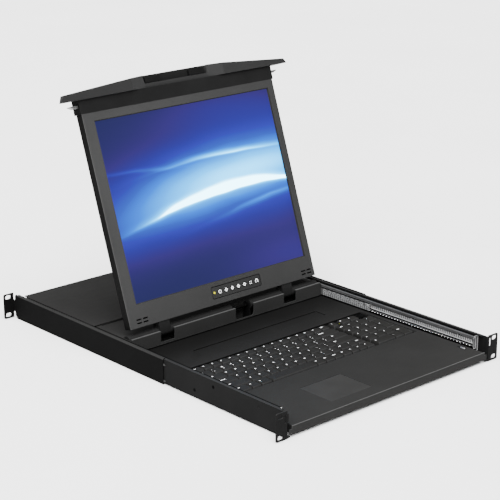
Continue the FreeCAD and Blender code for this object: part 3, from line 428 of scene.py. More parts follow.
def rounded_block(bm, low, high, radius, levels, material=0, steps=3):
    """Upright block with round corners; levels are (inset, height) pairs from the bottom up."""
    rings = []
    for inset, z in levels:
        outline = outline_rounded((low[0] + inset, low[1] + inset),
                                  (high[0] - inset, high[1] - inset), radius, steps)
        rings.append([(x, y, z) for x, y in outline])
    add_rings(bm, rings, material=material)


def oval(centre, half_width, half_height, count):
    """Points of an ellipse, counter-clockwise."""
    return [(centre[0] + half_width * math.cos(2 * math.pi * k / count),
             centre[1] + half_height * math.sin(2 * math.pi * k / count)) for k in range(count)]


def add_round(bm, profile, axis_point, axis, sides=24, material=0):
    """Revolve (radius, height) pairs about an axis; ends on the axis are closed by caps."""
    axis = Vector(axis).normalized()
    side = axis.orthogonal().normalized()
    other = axis.cross(side)
    rings = []
    for radius, height in profile:
        centre = Vector(axis_point) + axis * height
        rings.append([centre + (side * math.cos(2 * math.pi * i / sides)
                                + other * math.sin(2 * math.pi * i / sides)) * radius
                      for i in range(sides)])
    return add_rings(bm, rings, material=material)


def text_mesh(words, size):
    """Bold raised lettering as a mesh round the origin, in millimetres."""
    curve = bpy.data.curves.new("words", "FONT")
    curve.body = words
    curve.size = size
    curve.align_x = "LEFT"
    curve.align_y = "CENTER"
    curve.resolution_u = 2
    curve.offset = 0.02 * size
    curve.extrude = 0.04
    holder = bpy.data.objects.new("words", curve)
    bpy.context.scene.collection.objects.link(holder)
    bpy.context.view_layer.update()
    graph = bpy.context.evaluated_depsgraph_get()
    mesh = bpy.data.meshes.new_from_object(holder.evaluated_get(graph))
    bpy.data.objects.remove(holder)
    bpy.data.curves.remove(curve)
    return mesh


def add_words(bm, words, size, place, material=1):
    """Set lettering into a bmesh; place is a matrix in millimetres."""
    mesh = text_mesh(words, size)
    mesh.transform(place)
    before = len(bm.faces)
    bm.from_mesh(mesh)
    bm.faces.ensure_lookup_table()
    for face in bm.faces[before:]:
        face.material_index = material
    bpy.data.meshes.remove(mesh)


# ---------------------------------------------------------------- brackets and slides
RAIL_MIDDLE_Z = (extent("rail_outer_left")[0].z + extent("rail_outer_left")[1].z) / 2
HIGHLIGHT_END_TOP = 12.0          # cut front ends below this height take bright steel: a painted highlight
WEB_HALF = 5.0              # half height of a slide's flat web


def upper_face(centre, normal):
    """Upward faces of a slide's top arms, which lie in the shade of the bracket's flange."""
    return normal.z > 0.6 and centre.z > RAIL_MIDDLE_Z


def slide_finish(centre, normal):
    """0 web, 1 top and bottom arms in near-black: painted shade, 2 cut front ends in bright steel:
    painted highlight.
    """
    if normal.y < -0.7 and centre.z < HIGHLIGHT_END_TOP:
        return 2
    return 1 if upper_face(centre, normal) or centre.z < RAIL_MIDDLE_Z - WEB_HALF else 0


# Upward faces get the lighter bracket coat, a painted highlight.
def upward_highlight_faces(centre, normal):
    return normal.z > 0.5


BRACKETS = (("front_bracket", "bracket_front", BRACKET, "rack_mount"),
            ("rear_bracket", "bracket_rear", BRACKET_REAR, "rear_mount_{}"))
SLIDE_PARTS = (("rail_outer", "slide_outer", RAIL, "rack_mount", 0.18, "zinc_steel"),
               ("rail_middle", "slide_middle", RAIL, "slide_{}", 0.15, "zinc_steel"),
               ("rail_inner", "slide_inner", RAIL_INNER, "drawer", 0.15, "zinc_steel"),
               ("ball_cage", "slide_cage", RAIL, "slide_{}", 0, "cage_steel"))
for side in ("left", "right"):
    for node, name, paint, body in BRACKETS:
        cad_copy(f"{node}_{side}", f"{name}_{side}", [paint, BRACKET_TOP_HIGHLIGHT], body.format(side), 0.25,
                 where=upward_highlight_faces)
    for node, name, web, body, width, slot in SLIDE_PARTS:
        cad_copy(f"{node}_{side}", f"{name}_{side}", [web, RAIL_ARM_SHADE, END_HIGHLIGHT_STEEL], body.format(side),
                 width, where=slide_finish)


def side_plate(bm, sign, outline, face_x, proud, material=0, slope=0.0):
    """Thin raised patch on a slide's inward face; outline in (y, z)."""
    levels = ((face_x + 0.02, 0.0), (face_x - proud * 0.6, 0.0), (face_x - proud, slope))
    middle_y = sum(p[0] for p in outline) / len(outline)
    middle_z = sum(p[1] for p in outline) / len(outline)
    rings = []
    for x, inset in levels:
        rings.append([(sign * x, y + (middle_y - y) * inset, z + (middle_z - z) * inset)
                      for y, z in outline])
    add_rings(bm, rings, material=material)


RIB_PITCH = 4.8             # ribs of the retainer and dashes of the inner rail
BEAD_COUNT = 12
RETAINER_SCREW_Y = (58.0, 158.0)
LINK_COUNT, LINK_PITCH = 9, 11.0


def retainer_comb(side, sign):
    """Pressed ribs and beads of the ball retainer, with the windows over its two screws drawn as
    painted shade and painted glints.
    """
    low, high = extent(f"ball_cage_{side}")
    face_x = max(abs(low.x), abs(high.x)) - 0.5
    bm = bmesh.new()
    for index in range(int((high.y - low.y - 6) / RIB_PITCH)):
        y = low.y + 3.0 + index * RIB_PITCH
        rib = [(y, 3.6), (y + 2.0, 3.6), (y + 3.6, 7.6), (y + 1.6, 7.6)]
        side_plate(bm, sign, rib, face_x, 0.14, 0, 0.1)
    start, end = low.y + 2, high.y - 2
    for k in range(BEAD_COUNT):
        a = start + (end - start) * k / BEAD_COUNT
        b = start + (end - start) * (k + 1) / BEAD_COUNT - 0.4
        side_plate(bm, sign, [(a, 1.6), (b, 1.6), (b, 3.0), (a, 3.0)], face_x, 0.14)
        side_plate(bm, sign, [(a, -0.9), (b, -0.9), (b, 1.0), (a, 1.0)], face_x, 0.05, 1)
    # Each screw window is a dark disc, painted shade, with a small bright bump beside it: a painted
    # glint of the screw behind.
    for y in RETAINER_SCREW_Y:
        side_plate(bm, sign, oval((y, 9.0), 2.6, 2.4, 16), face_x, 0.10, 1)
        side_plate(bm, sign, oval((y + 1.5, 7.6), 1.1, 1.1, 10), face_x, 0.16, 0, 0.4)
    return piece_from(f"slide_comb_{side}", bm, [RIB, BLACK_CAP_AND_SHADE], smooth_angle=30)


def inner_studs(side, sign):
    """Lanced chain, dashes and front catch along the exposed stretch of the inner member."""
    low, high = extent(f"rail_inner_{side}")
    face_x = min(abs(low.x), abs(high.x))
    wall_y = extent("hinge_wall")[0].y
    bm = bmesh.new()
    for index in range(LINK_COUNT):
        y = low.y + 18.0 + index * LINK_PITCH
        outer = oval((y, 7.0), 4.6, 2.5, 12)
        inner = oval((y, 7.0), 2.7, 1.1, 12)
        for k in range(12):
            j = (k + 1) % 12
            side_plate(bm, sign, [outer[k], outer[j], inner[j], inner[k]], face_x, 0.25)
    y = low.y + 1.5
    while y < wall_y - 5:
        dash = [(y, 1.6), (y + 2.4, 1.6), (y + 3.6, 4.0), (y + 1.2, 4.0)]
        side_plate(bm, sign, dash, face_x, 0.25, 0, 0.15)
        side_plate(bm, sign, [(y, -1.0), (y + 3.2, -1.0), (y + 3.2, 0.7), (y, 0.7)], face_x, 0.2)
        y += RIB_PITCH
    start, end = low.y + 0.6, low.y + 9.5
    side_plate(bm, sign, [(start, 4.8), (end, 4.8), (end, 9.8), (start, 9.8)], face_x, 0.2, 0, 0.06)
    # The dark disc on the front catch is painted shade in its hole.
    side_plate(bm, sign, oval((low.y + 6.5, 7.6), 1.3, 1.3, 10), face_x, 0.26, 1)
    return piece_from(f"slide_studs_{side}", bm, [STUD, BLACK_CAP_AND_SHADE], smooth_angle=30)


BALL_PITCH = 6.5


def slide_balls(side):
    """Every ball of both rows, in place of the few that the solids carry."""
    boxes = loose_extents(f"slide_balls_{side}")
    rows = sorted({round((low.z + high.z) / 2, 2) for low, high in boxes})
    low_y = min(low.y for low, high in boxes)
    high_y = max(high.y for low, high in boxes)
    low, high = boxes[0]
    radius = (high.x - low.x) / 2
    x = (low.x + high.x) / 2
    count = int((high_y - low_y) / BALL_PITCH)
    bm = bmesh.new()
    for z in rows:
        for index in range(count + 1):
            place = Matrix.Translation((x, low_y + radius + index * BALL_PITCH, z))
            bmesh.ops.create_icosphere(bm, subdivisions=2, radius=radius * 0.98, matrix=place)
    return piece_from(f"slide_ball_rows_{side}", bm, BALL, smooth_angle=80)


for side, sign in (("left", -1), ("right", 1)):
    finish_piece(slide_balls(side), f"slide_{side}", [f"slide_balls_{side}"])
    finish_piece(retainer_comb(side, sign), f"slide_{side}")
    finish_piece(inner_studs(side, sign), "drawer")


def screw_head(bm, place, axis, radius, height, material=0, dark=1):
    """Pan head: a revolved crown with a dark cross set in its top, painted shade of the cross
    recess.
    """
    axis = Vector(axis).normalized()
    crown = [(radius, 0), (radius, height * 0.35), (radius * 0.86, height * 0.8),
             (radius * 0.5, height), (radius * 0.12, height)]
    add_round(bm, crown, place, axis, 20, material)
    side = axis.orthogonal().normalized()
    other = axis.cross(side)
    for a, b in ((side, other), (other, side)):
        corners = []
        for sa, sb in ((-1, -1), (1, -1), (1, 1), (-1, 1)):
            corners.append(Vector(place) + a * sa * radius * 0.55 + b * sb * radius * 0.11)
        rings = [[c + axis * height * rise for c in corners] for rise in (0.9, 1.03)]
        add_rings(bm, rings, material=dark)


TAB_HEIGHTS = (10.7, -15.8)
for side, sign in (("left", -1), ("right", 1)):
    bm = bmesh.new()
    boxes = sorted(loose_extents(f"slide_screws_{side}"), key=lambda b: b[0].y)
    web_x = max(abs(boxes[0][0].x), abs(boxes[0][1].x))
    for low, high in boxes:
        y = (low.y + high.y) / 2
        z = (low.z + high.z) / 2
        inner = min(abs(low.x), abs(high.x))
        screw_head(bm, (sign * (inner + 1.0), y, z), (-sign, 0, 0), 3.1, 1.0)
        add_round(bm, [(1.95, 0), (1.95, web_x - inner - 1.6), (1.4, web_x - inner - 1.05)],
                  (sign * (inner + 1.0), y, z), (sign, 0, 0), 20, 2)
    # Two screws show outside as low black caps: the rear slide screw, and one behind and below.
    for cap_y, cap_z in ((y, z), (y + 43.0, z - 17.9)):
        add_round(bm, [(2.7, 0), (2.7, 0.08), (2.2, 0.18), (0.9, 0.12)],
                  (sign * (web_x - 0.02), cap_y, cap_z), (sign, 0, 0), 20, 3)
    heads = piece_from(f"slide_screw_heads_{side}", bm, [SCREW, CROSS_RECESS_SHADE, BRACKET, BLACK_CAP_AND_SHADE])
    finish_piece(heads, "rack_mount", [f"slide_screws_{side}"])

    # Small clamp tabs at the nose of the rear bracket, which travel with it.
    nose, far = extent(f"rear_bracket_{side}")
    bm = bmesh.new()
    for z in TAB_HEIGHTS:
        outline = outline_rounded((nose.y - 4.5, z - 1.5), (nose.y + 2.0, z + 1.5), 1.2, 3)
        rings = [[(sign * x, y, up) for y, up in outline] for x in (web_x + 0.35, web_x + 1.2)]
        add_rings(bm, rings)
        add_round(bm, [(1.1, 0), (1.1, 0.25), (0.7, 0.5)], (sign * (web_x + 1.2), nose.y - 2.4, z),
                  (sign, 0, 0), 14)
    finish_piece(piece_from(f"clamp_tabs_{side}", bm, [TAB]), f"rear_mount_{side}")


# ---------------------------------------------------------------- drawer sheet metal
def wall_finish(centre, normal):
    """0 face, 1 top edge in a lighter coat: painted highlight, 2 foot in near-black: painted shade.
    """
    if centre.z < -1.5:
        return 2
    return 1 if normal.z > 0.3 and centre.z > 10 else 0


def front_edge_highlight(centre, normal):
    """The deck's rolled front, in a lighter coat: a painted highlight."""
    return normal.z > 0.15 and normal.y < -0.15


cad_copy("drawer_pan", "pan_form", COVER, "drawer", 0.3)
# Every broken edge of the deck takes the lighter edge coat too: painted highlights.
cad_copy("keyboard_deck", "deck_form", [DECK, DECK_EDGE_HIGHLIGHT], "drawer", 0.3, edge=1,
         where=front_edge_highlight)
cad_copy("hinge_wall", "wall_form", [WALL, WALL_TOP_HIGHLIGHT, SHADE_BLACK], "drawer", 0.35, 3,
         wall_finish)
cad_copy("hinge_deck", "hinge_deck_form", COVER, "drawer", 0.3)
cad_copy("rear_cover", "cover_form", COVER, "drawer", 0.3)
cad_copy("hinge_saddles", "saddle_form", SADDLE, "drawer", 0.2)
cad_copy("keyboard_base", "key_bed_form", KEY_BED, "drawer", 0.2)
cad_copy("touchpad", "touchpad_form", PAD, "drawer", 0.25)
cad_copy("power_inlet", "inlet_form", SOCKET_BLACK, "drawer", 0.3)
cad_copy("video_socket", "video_form", SOCKET, "drawer", 0.2)
cad_copy("usb_socket", "usb_form", SOCKET, "drawer", 0.2)
for node, material in (("hinge_shaft", SHAFT), ("touchpad_board", BOARD),
                       ("controller_board", BOARD), ("power_supply", RAIL)):
    nodes[node].data.materials.clear()
    nodes[node].data.materials.append(material)


# ---------------------------------------------------------------- keyboard
def keycap(bm, low, high, dish=0.35):
    """One cap: sloped skirt, rolled edge and a dished top."""
    top = high.z
    rings = []
    for inset_x, inset_y, z, radius in ((0.0, 0.0, low.z, 0.8), (0.2, 0.2, top - 2.0, 1.2),
                                        (0.7, 0.55, top - 0.5, 1.7), (1.0, 0.8, top - 0.12, 1.9),
                                        (1.6, 1.3, top, 2.0)):
        outline = outline_rounded((low.x + inset_x, low.y + inset_y),
                                  (high.x - inset_x, high.y - inset_y * 1.4), radius, 3)
        rings.append([(x, y, z) for x, y in outline])
    for scale, drop in ((0.72, 0.55), (0.38, 0.9)):
        cx = (low.x + high.x) / 2
        cy = (low.y + high.y) / 2
        rings.append([(cx + (x - cx) * scale, cy + (y - cy) * scale, top - dish * drop)
                      for x, y, z in rings[4]])
    add_rings(bm, rings)


def skirt_highlight(bm):
    """Front skirts of the caps take a lighter plastic: a painted highlight."""
    bmesh.ops.recalc_face_normals(bm, faces=bm.faces)
    for face in bm.faces:
        if face.material_index == 0 and face.normal.y < -0.45:
            face.material_index = 2


MARK_SIZE, SHORT_SIZE, WORD_SIZE, PAIR_SIZE = 3.5, 2.6, 2.5, 2.9


def legend(bm, low, high, words):
    """Print a key's marks: one large mark, a small pair one over the other, or a word."""
    parts = words.split("|")
    for index, part in enumerate(parts):
        size = {1: MARK_SIZE, 2: SHORT_SIZE}.get(len(part), WORD_SIZE)
        if len(parts) == 2:
            size = PAIR_SIZE
        x = low.x + 3.2
        y = (low.y + high.y) / 2 + (2.6 if len(parts) == 1 else 3.4 - 6.0 * index)
        add_words(bm, part, size, Matrix.Translation((x, y, high.z)))


def rows_of(boxes):
    """Boxes grouped from the front row back, each row from left to right."""
    rows = []
    for item in sorted(boxes, key=lambda b: b[0].y):
        if rows and abs(rows[-1][0][0].y - item[0].y) < 2:
            rows[-1].append(item)
        else:
            rows.append([item])
    return [sorted(row, key=lambda b: b[0].x) for row in rows]


MAIN_LEGENDS = (("Ctrl", "Fn", "Alt", "Alt", "Ctrl", "Home", "End", "<", "v", ">"),
                (*"ZXCVBNM", "<|,", ">|.", "?|/", "Shift", "^", "PgDn"),
                ("Caps Lock", *"ASDFGHJKL", ":|;", "\"|'"),
                ("Tab", *"QWERTYUIOP", "{|[", "}|]", "Del"),
                ("~|`", "!|1", "@|2", "#|3", "$|4", "%|5", "^|6", "&|7", "*|8", "(|9", ")|0",
                 "_|-", "+|="))
FUNCTION_LEGENDS = (tuple(f"F{i}" for i in range(1, 13)) + ("Prt", "Ins", "PgUp"),)
PAD_LEGENDS = (("0", ".", "Enter"), ("1", "2", "3"), ("4", "5", "6", "+"), ("7", "8", "9"),
               ("Num", "/", "*", "-"), ("1", "A", "9"))


def key_block(node, name, legends):
    """All caps of a block that don't travel by themselves, with their legends."""
    bm = bmesh.new()
    keys = [(low, high, word) for row, words in zip(rows_of(loose_extents(node)), legends)
            for (low, high), word in zip(row, words)]
    for low, high, word in keys:
        keycap(bm, low, high)
    skirt_highlight(bm)
    for low, high, word in keys:
        legend(bm, low, high, word)
    piece = piece_from(name, bm, [KEYS, GLOWING_INK, KEY_SKIRT_HIGHLIGHT], smooth_angle=40)
    return finish_piece(piece, "drawer", [node])


key_block("keys_main_block", "caps_main", MAIN_LEGENDS)
key_block("keys_function_row", "caps_function", FUNCTION_LEGENDS)
key_block("keys_number_pad", "caps_pad", PAD_LEGENDS)

for node, word in (("space_bar", ""), ("shift_key", "Shift"), ("enter_key", "Enter"),
                   ("backspace_key", "Backspace"), ("escape_key", "Esc")):
    low, high = extent(node)
    stem_top = high.z - 4.0
    bm = bmesh.new()
    keycap(bm, Vector((low.x, low.y, stem_top)), high, 0.2 if node == "space_bar" else 0.35)
    mid = (low + high) / 2
    rounded_block(bm, (mid.x - 3, mid.y - 3), (mid.x + 3, mid.y + 3), 0.5,
                  ((0, low.z), (0, stem_top + 1)), steps=2)
    skirt_highlight(bm)
    if word:
        legend(bm, low, high, word)
    finish_piece(piece_from(f"cap_{node}", bm, [KEYS, GLOWING_INK, KEY_SKIRT_HIGHLIGHT], smooth_angle=40),
                 f"{node}_body", [node])

low, high = extent("keyboard_led")
bm = bmesh.new()
mid = (low + high) / 2
add_round(bm, [(1.0, low.z), (1.0, high.z - 0.9), (0.95, high.z - 0.6)],
          (mid.x, mid.y, 0), (0, 0, 1), 16, 1)
add_round(bm, [(0.95, high.z - 0.6), (0.85, high.z - 0.2), (0.4, high.z)],
          (mid.x, mid.y, 0), (0, 0, 1), 16)
finish_piece(piece_from("lock_lamp", bm, [LED_DIM, SOCKET_BLACK]), "drawer", ["keyboard_led"])

# The keyboard frame's right-hand rim, and the blank lock window beside the pad's top row.
base_low, base_high = extent("keyboard_base")
deck_top = extent("keyboard_deck")[1].z
pad_high = extent("keys_number_pad")[1]
bm = bmesh.new()
rounded_block(bm, (pad_high.x + 1.9, base_low.y + 3.4), (base_high.x - 4.8, base_high.y - 3.4), 0.8,
              ((0, deck_top - 2.5), (0, deck_top - 0.45), (0.3, deck_top - 0.1)))
# Near-black sheet under the rim, seen in the gaps on both sides of it: painted shade.
rounded_block(bm, (pad_high.x + 0.3, base_low.y + 4.2), (base_high.x - 3.2, base_high.y - 4.2), 0.8,
              ((0, deck_top - 2.4), (0, deck_top - 1.9)), 1)
finish_piece(piece_from("keyboard_rim", bm, [DECK, SHADE_BLACK]), "drawer")
bm = bmesh.new()
last_low, last_high = rows_of(loose_extents("keys_number_pad"))[-1][-1]
rounded_block(bm, (last_high.x + 1.8, last_low.y + 1.0), (pad_high.x - 0.6, last_high.y - 0.6), 1.0,
              ((0, deck_top - 5.4), (0, deck_top - 0.9), (0.5, deck_top - 0.5)))
finish_piece(piece_from("lock_window", bm, DARK_LENS_AND_SHADE), "drawer")

# Small lanced stop in the deck near its front right corner.
bm = bmesh.new()
stop_x, stop_y = base_high.x - 6.6, 31.0
# The thin near-black patch behind the raised tab is painted shade in the lanced opening.
for start, end, lift, material in ((0.0, 9.0, 1.3, 0), (9.6, 15.0, 0.12, 1)):
    levels = ((0, deck_top - 0.3), (0, deck_top + lift * 0.6), (0.4, deck_top + lift))
    rounded_block(bm, (stop_x, stop_y + start), (stop_x + 2.6, stop_y + end), 0.6, levels, material)
finish_piece(piece_from("deck_stop", bm, [SCREW, BLACK_CAP_AND_SHADE]), "drawer")

# ---------------------------------------------------------------- LCD housing
cad_copy("lcd_shell", "shell_form", [SHELL, SHELL_BACK], "lcd", 0.3,
         where=lambda centre, normal: normal.dot(OUT) < -0.5)
cad_copy("lcd_bezel", "bezel_form", BEZEL, "lcd", 0.3)
cad_copy("hinge_tubes", "tube_form", TUBE, "lcd", 0.3)
THUMB_REACH = 70            # a latch's thumb pad lies within this of the middle
for side in ("left", "right"):
    cad_copy(f"hinge_arm_{side}", f"arm_form_{side}", TUBE, "lcd", 0.3)
    cad_copy(f"latch_{side}", f"latch_form_{side}", [LATCH, THUMB], f"latch_slide_{side}", 0.25,
             where=lambda centre, normal: abs(centre.x) < THUMB_REACH)
cad_copy("handle_strip", "strip_form", [STRIP, SHELL], "lcd", 0.4,
         where=lambda centre, normal: normal.x < -0.5)
LCD_BACK = LCD_MM.inverted()
RECESS_HALF, RECESS_FLOOR, RECESS_FACE = 66, 394.5, 13
SETBACK_HALF = 110


def handle_finish(centre, normal):
    """0 faces, 1 the recess and its pockets in a darker coat: painted shade, 2 the slanted borders
    of the set-back middle in a lighter coat: painted highlight.
    """
    place = LCD_BACK @ (centre * MM)
    if abs(place.x) < RECESS_HALF and place.y > RECESS_FLOOR and place.z < RECESS_FACE:
        return 1
    slanted = abs(normal.x) > 0.15 and normal.dot(OUT) > 0.3
    return 2 if slanted and abs(place.x) < SETBACK_HALF else 0


handle_piece = cad_copy("handle", "handle_form", [HANDLE, HANDLE_RECESS_SHADE, HANDLE_FACET_HIGHLIGHT], "lcd", 0.9,
                        3, handle_finish)

# The bar's near end has a taller slanted cap: its top corners are drawn up and in, its foot down.
CAP_CORNER, CAP_BEND, CAP_FOOT = Vector((3.8, 2.2, 0)), Vector((9.0, 2.4, 0)), Vector((0, -1.2, 0))
for vertex in handle_piece.data.vertices:
    place = LCD_BACK @ vertex.co
    if place.y > 393 and place.x < -200:
        place += CAP_CORNER if place.x < -230 else CAP_BEND
    elif place.y < 388 and place.x < -236:
        place += CAP_FOOT
    vertex.co = LCD_MM @ place


def wallpaper():
    """Lit screen: a night-blue ground crossed by bowed veils and threads of light."""
    material, n, l, shader = new_material("screen_picture", (0.0, 0.0, 0.0), 0.35, IOR=1.2)
    coords = n.new("ShaderNodeTexCoord")
    split = n.new("ShaderNodeSeparateXYZ")
    l.new(coords.outputs["UV"], split.inputs["Vector"])

    def math_node(kind, *inputs):
        node = n.new("ShaderNodeMath")
        node.operation = kind
        for index, value in enumerate(inputs):
            if isinstance(value, (int, float)):
                node.inputs[index].default_value = value
            else:
                l.new(value, node.inputs[index])
        return node.outputs[0]

    u = split.outputs["X"]
    v = split.outputs["Y"]
    warp = add_node(n, "ShaderNodeTexNoise", Scale=1.0, Detail=3.0)
    stretch = add_node(n, "ShaderNodeMapping", Scale=(1.3, 3.2, 1.0))
    l.new(coords.outputs["UV"], stretch.inputs["Vector"])
    l.new(stretch.outputs["Vector"], warp.inputs["Vector"])
    drift = math_node("MULTIPLY_ADD", warp.outputs["Fac"], 0.10, -0.05)
    height = math_node("ADD", v, drift)

    def bowed(start, slope, bow):
        """Height of a bowed line: start + slope u + bow u (1 - u)."""
        arch = math_node("MULTIPLY", u, math_node("SUBTRACT", 1.0, u))
        return math_node("ADD", math_node("MULTIPLY_ADD", u, slope, start),
                         math_node("MULTIPLY", arch, bow))

    def veil(line, above, below, strength, centre, spread):
        """Soft band of light round a line, strongest at one place across the screen."""
        gap = math_node("SUBTRACT", height, line)
        up_side = math_node("MAXIMUM", math_node("DIVIDE", gap, above), 0.0)
        down_side = math_node("MAXIMUM", math_node("DIVIDE", gap, -below), 0.0)
        reach = math_node("ADD", up_side, down_side)
        across = math_node("DIVIDE", math_node("SUBTRACT", u, centre), spread)
        fall = math_node("MULTIPLY_ADD", reach, reach, math_node("MULTIPLY", across, across))
        bell = math_node("EXPONENT", math_node("MULTIPLY", fall, -1.0))
        return math_node("MULTIPLY", bell, strength)

    veils = (veil(bowed(0.46, 0.12, 0.10), 0.22, 0.22, 0.80, 0.88, 0.85),
             veil(bowed(0.40, 0.10, 0.16), 0.22, 0.12, 0.22, 0.25, 0.55),
             veil(bowed(0.36, 0.10, 0.24), 0.030, 0.016, 0.55, 0.62, 0.42),
             veil(bowed(0.36, 0.10, 0.24), 0.010, 0.006, 0.60, 0.72, 0.36),
             veil(bowed(0.62, 0.06, 0.14), 0.020, 0.008, 0.30, 0.66, 0.34),
             veil(bowed(0.70, -0.10, 0.02), 0.014, 0.010, 0.16, 0.12, 0.22),
             veil(bowed(0.24, 0.16, 0.05), 0.012, 0.020, 0.20, 0.85, 0.30),
             veil(bowed(0.90, 0.04, 0.10), 0.10, 0.12, 0.10, 0.75, 0.45),
             veil(bowed(0.02, 0.02, 0.02), 0.14, 0.10, 0.09, 0.95, 0.35))
    glow = veils[0]
    for part in veils[1:]:
        glow = math_node("ADD", glow, part)
    ground = ramp(n, [(0.0, (0.0030, 0.0034, 0.0152)), (0.08, (0.0058, 0.0038, 0.0285)),
                      (0.20, (0.0045, 0.0045, 0.0480)), (0.32, (0.0054, 0.0062, 0.0727)),
                      (0.44, (0.0050, 0.0150, 0.0960)), (0.56, (0.0015, 0.0340, 0.1732)),
                      (0.68, (0.0010, 0.0820, 0.2600)), (0.78, (0.0020, 0.1550, 0.3800)),
                      (0.88, (0.0300, 0.3000, 0.5800)), (1.0, (0.45, 0.98, 1.2))])
    l.new(glow, ground.inputs["Fac"])
    l.new(ground.outputs["Color"], shader.inputs["Emission Color"])
    shader.inputs["Emission Strength"].default_value = 9.0
    vary_gloss(n, l, shader, warp, 0.30, 0.42)
    return material


def screen():
    """Display module: tray, dark border and the lit picture on a sheet set back in it."""
    low, high = extent("lcd_screen", LCD_MM)
    inset = 3.0
    left, right = low.x + inset + 1.5, high.x - inset - 1.5
    bottom, top = low.y + inset + 1.5, high.y - inset - 1.5
    bm = bmesh.new()
    outer = outline_rounded((low.x, low.y), (high.x, high.y), 1.5, 3)
    border = outline_rounded((low.x + inset, low.y + inset), (high.x - inset, high.y - inset),
                             0.5, 3)
    inner = outline_rounded((left, bottom), (right, top), 0.3, 3)
    front = high.z
    loops = [[(x, y, z) for x, y in ring] for ring, z in
             ((outer, low.z), (outer, front - 0.4), (border, front - 0.05), (border, front - 0.35),
              (inner, front - 0.55))]
    add_rings(bm, loops, cap_end=False, material=1)
    layer = bm.loops.layers.uv.new("UVMap")
    columns, lines = 24, 20
    grid = [[bm.verts.new((left + (right - left) * i / columns,
                           bottom + (top - bottom) * j / lines, front - 0.55))
             for i in range(columns + 1)] for j in range(lines + 1)]
    for j in range(lines):
        for i in range(columns):
            corners = ((i, j), (i + 1, j), (i + 1, j + 1), (i, j + 1))
            face = bm.faces.new([grid[b][a] for a, b in corners])
            face.material_index = 0
            for loop, (a, b) in zip(face.loops, corners):
                loop[layer].uv = (a / columns, b / lines)
    piece = piece_from("screen_module", bm, [wallpaper(), OSD], LCD_MM)
    return finish_piece(piece, "lcd", ["lcd_screen"])


screen()

BUTTON_NODES = ("power", "up", "down", "left", "right", "menu", "auto")


def arc(centre, radius, start, turn, count=20):
    """Points along part of a circle, both ends included."""
    return [(centre[0] + radius * math.cos(start + turn * i / count),
             centre[1] + radius * math.sin(start + turn * i / count)) for i in range(count + 1)]


def flat_mark(bm, outline, level, material=1):
    """Printed shape: a thin raised sheet of the given outline."""
    add_rings(bm, [[(x, y, z) for x, y in outline] for z in (level - 0.02, level + 0.03)],
              material=material)


def osd_plate():
    """Face plate of the controls: rounded plate, rolled edge, a round hole for each button."""
    low, high = extent("osd_panel", LCD_MM)
    outer = outline_rounded((low.x + 0.1, low.y + 0.1), (high.x - 0.1, high.y - 0.1), 3.0, 5)
    holes = []
    for key in BUTTON_NODES:
        near, far = extent(f"osd_button_{key}", LCD_MM)
        hole = (far.x - near.x) / 2 + 0.35
        holes.append(oval((near + far) / 2, hole, hole, 28))
    bm = bmesh.new()
    edges = []
    for ring in (outer, *holes):
        verts = [bm.verts.new((x, y, high.z)) for x, y in ring]
        edges += [bm.edges.new((a, b)) for a, b in zip(verts, verts[1:] + verts[:1])]
    bmesh.ops.triangle_fill(bm, edges=edges, use_beauty=True, use_dissolve=False)
    swept = bmesh.ops.extrude_face_region(bm, geom=list(bm.faces))
    moved = [item for item in swept["geom"] if isinstance(item, bmesh.types.BMVert)]
    bmesh.ops.translate(bm, verts=moved, vec=(0, 0, low.z - high.z))
    # Dark border line, a hair inside the plate's edge: painted shade of the gap round the plate.
    wide, narrow = (outline_rounded((low.x + d, low.y + d), (high.x - d, high.y - d), 3.0 - d, 5)
                    for d in (0.35, 1.25))
    for i in range(len(wide)):
        j = (i + 1) % len(wide)
        flat_mark(bm, [wide[i], wide[j], narrow[j], narrow[i]], high.z)
    return piece_from("osd_form", bm, [OSD, DARK_LENS_AND_SHADE], LCD_MM)


def band(bm, radius, width, level, start, turn, centre):
    """Printed arc of the given width."""
    outer = arc(centre, radius, start, turn)
    inner = arc(centre, radius - width, start, turn)
    for a, b, c, d in zip(outer, outer[1:], inner[1:], inner):
        flat_mark(bm, [a, b, c, d], level)


def button_mark(bm, key, x, y, level):
    """Generic mark of a control: power ring, arrow lozenge, four dots or an arch."""
    if key == "power":
        band(bm, 3.2, 0.8, level, math.radians(125), math.radians(290), (x, y))
        flat_mark(bm, [(x - 0.45, y + 0.2), (x + 0.45, y + 0.2), (x + 0.45, y + 3.6),
                       (x - 0.45, y + 3.6)], level)
    elif key == "menu":
        for dx in (-1.6, 1.6):
            for dy in (-1.6, 1.6):
                flat_mark(bm, oval((x + dx, y + dy), 0.85, 0.85, 12), level)
    elif key == "auto":
        band(bm, 2.9, 1.2, level, 0, math.pi, (x, y + 0.6))
        for side in (-1, 1):
            inner, outer = sorted((side * 1.7, side * 2.9))
            flat_mark(bm, [(x + inner, y - 2.9), (x + outer, y - 2.9), (x + outer, y + 0.6),
                           (x + inner, y + 0.6)], level)
    else:
        turn = {"right": 0, "up": 90, "left": 180, "down": 270}[key]
        spin = Matrix.Rotation(math.radians(turn), 2)
        lozenge = [(x + a, y + b) for a, b in ((3.3, 0), (0, 3.3), (-3.3, 0), (0, -3.3))]
        flat_mark(bm, lozenge, level)
        arrow = [spin @ Vector(p) for p in ((1.7, 0), (-0.9, 1.6), (-0.9, -1.6))]
        flat_mark(bm, [(x + p.x, y + p.y) for p in arrow], level + 0.04, 2)


finish_piece(soften(osd_plate(), 0.2, 2), "lcd", ["osd_panel"])

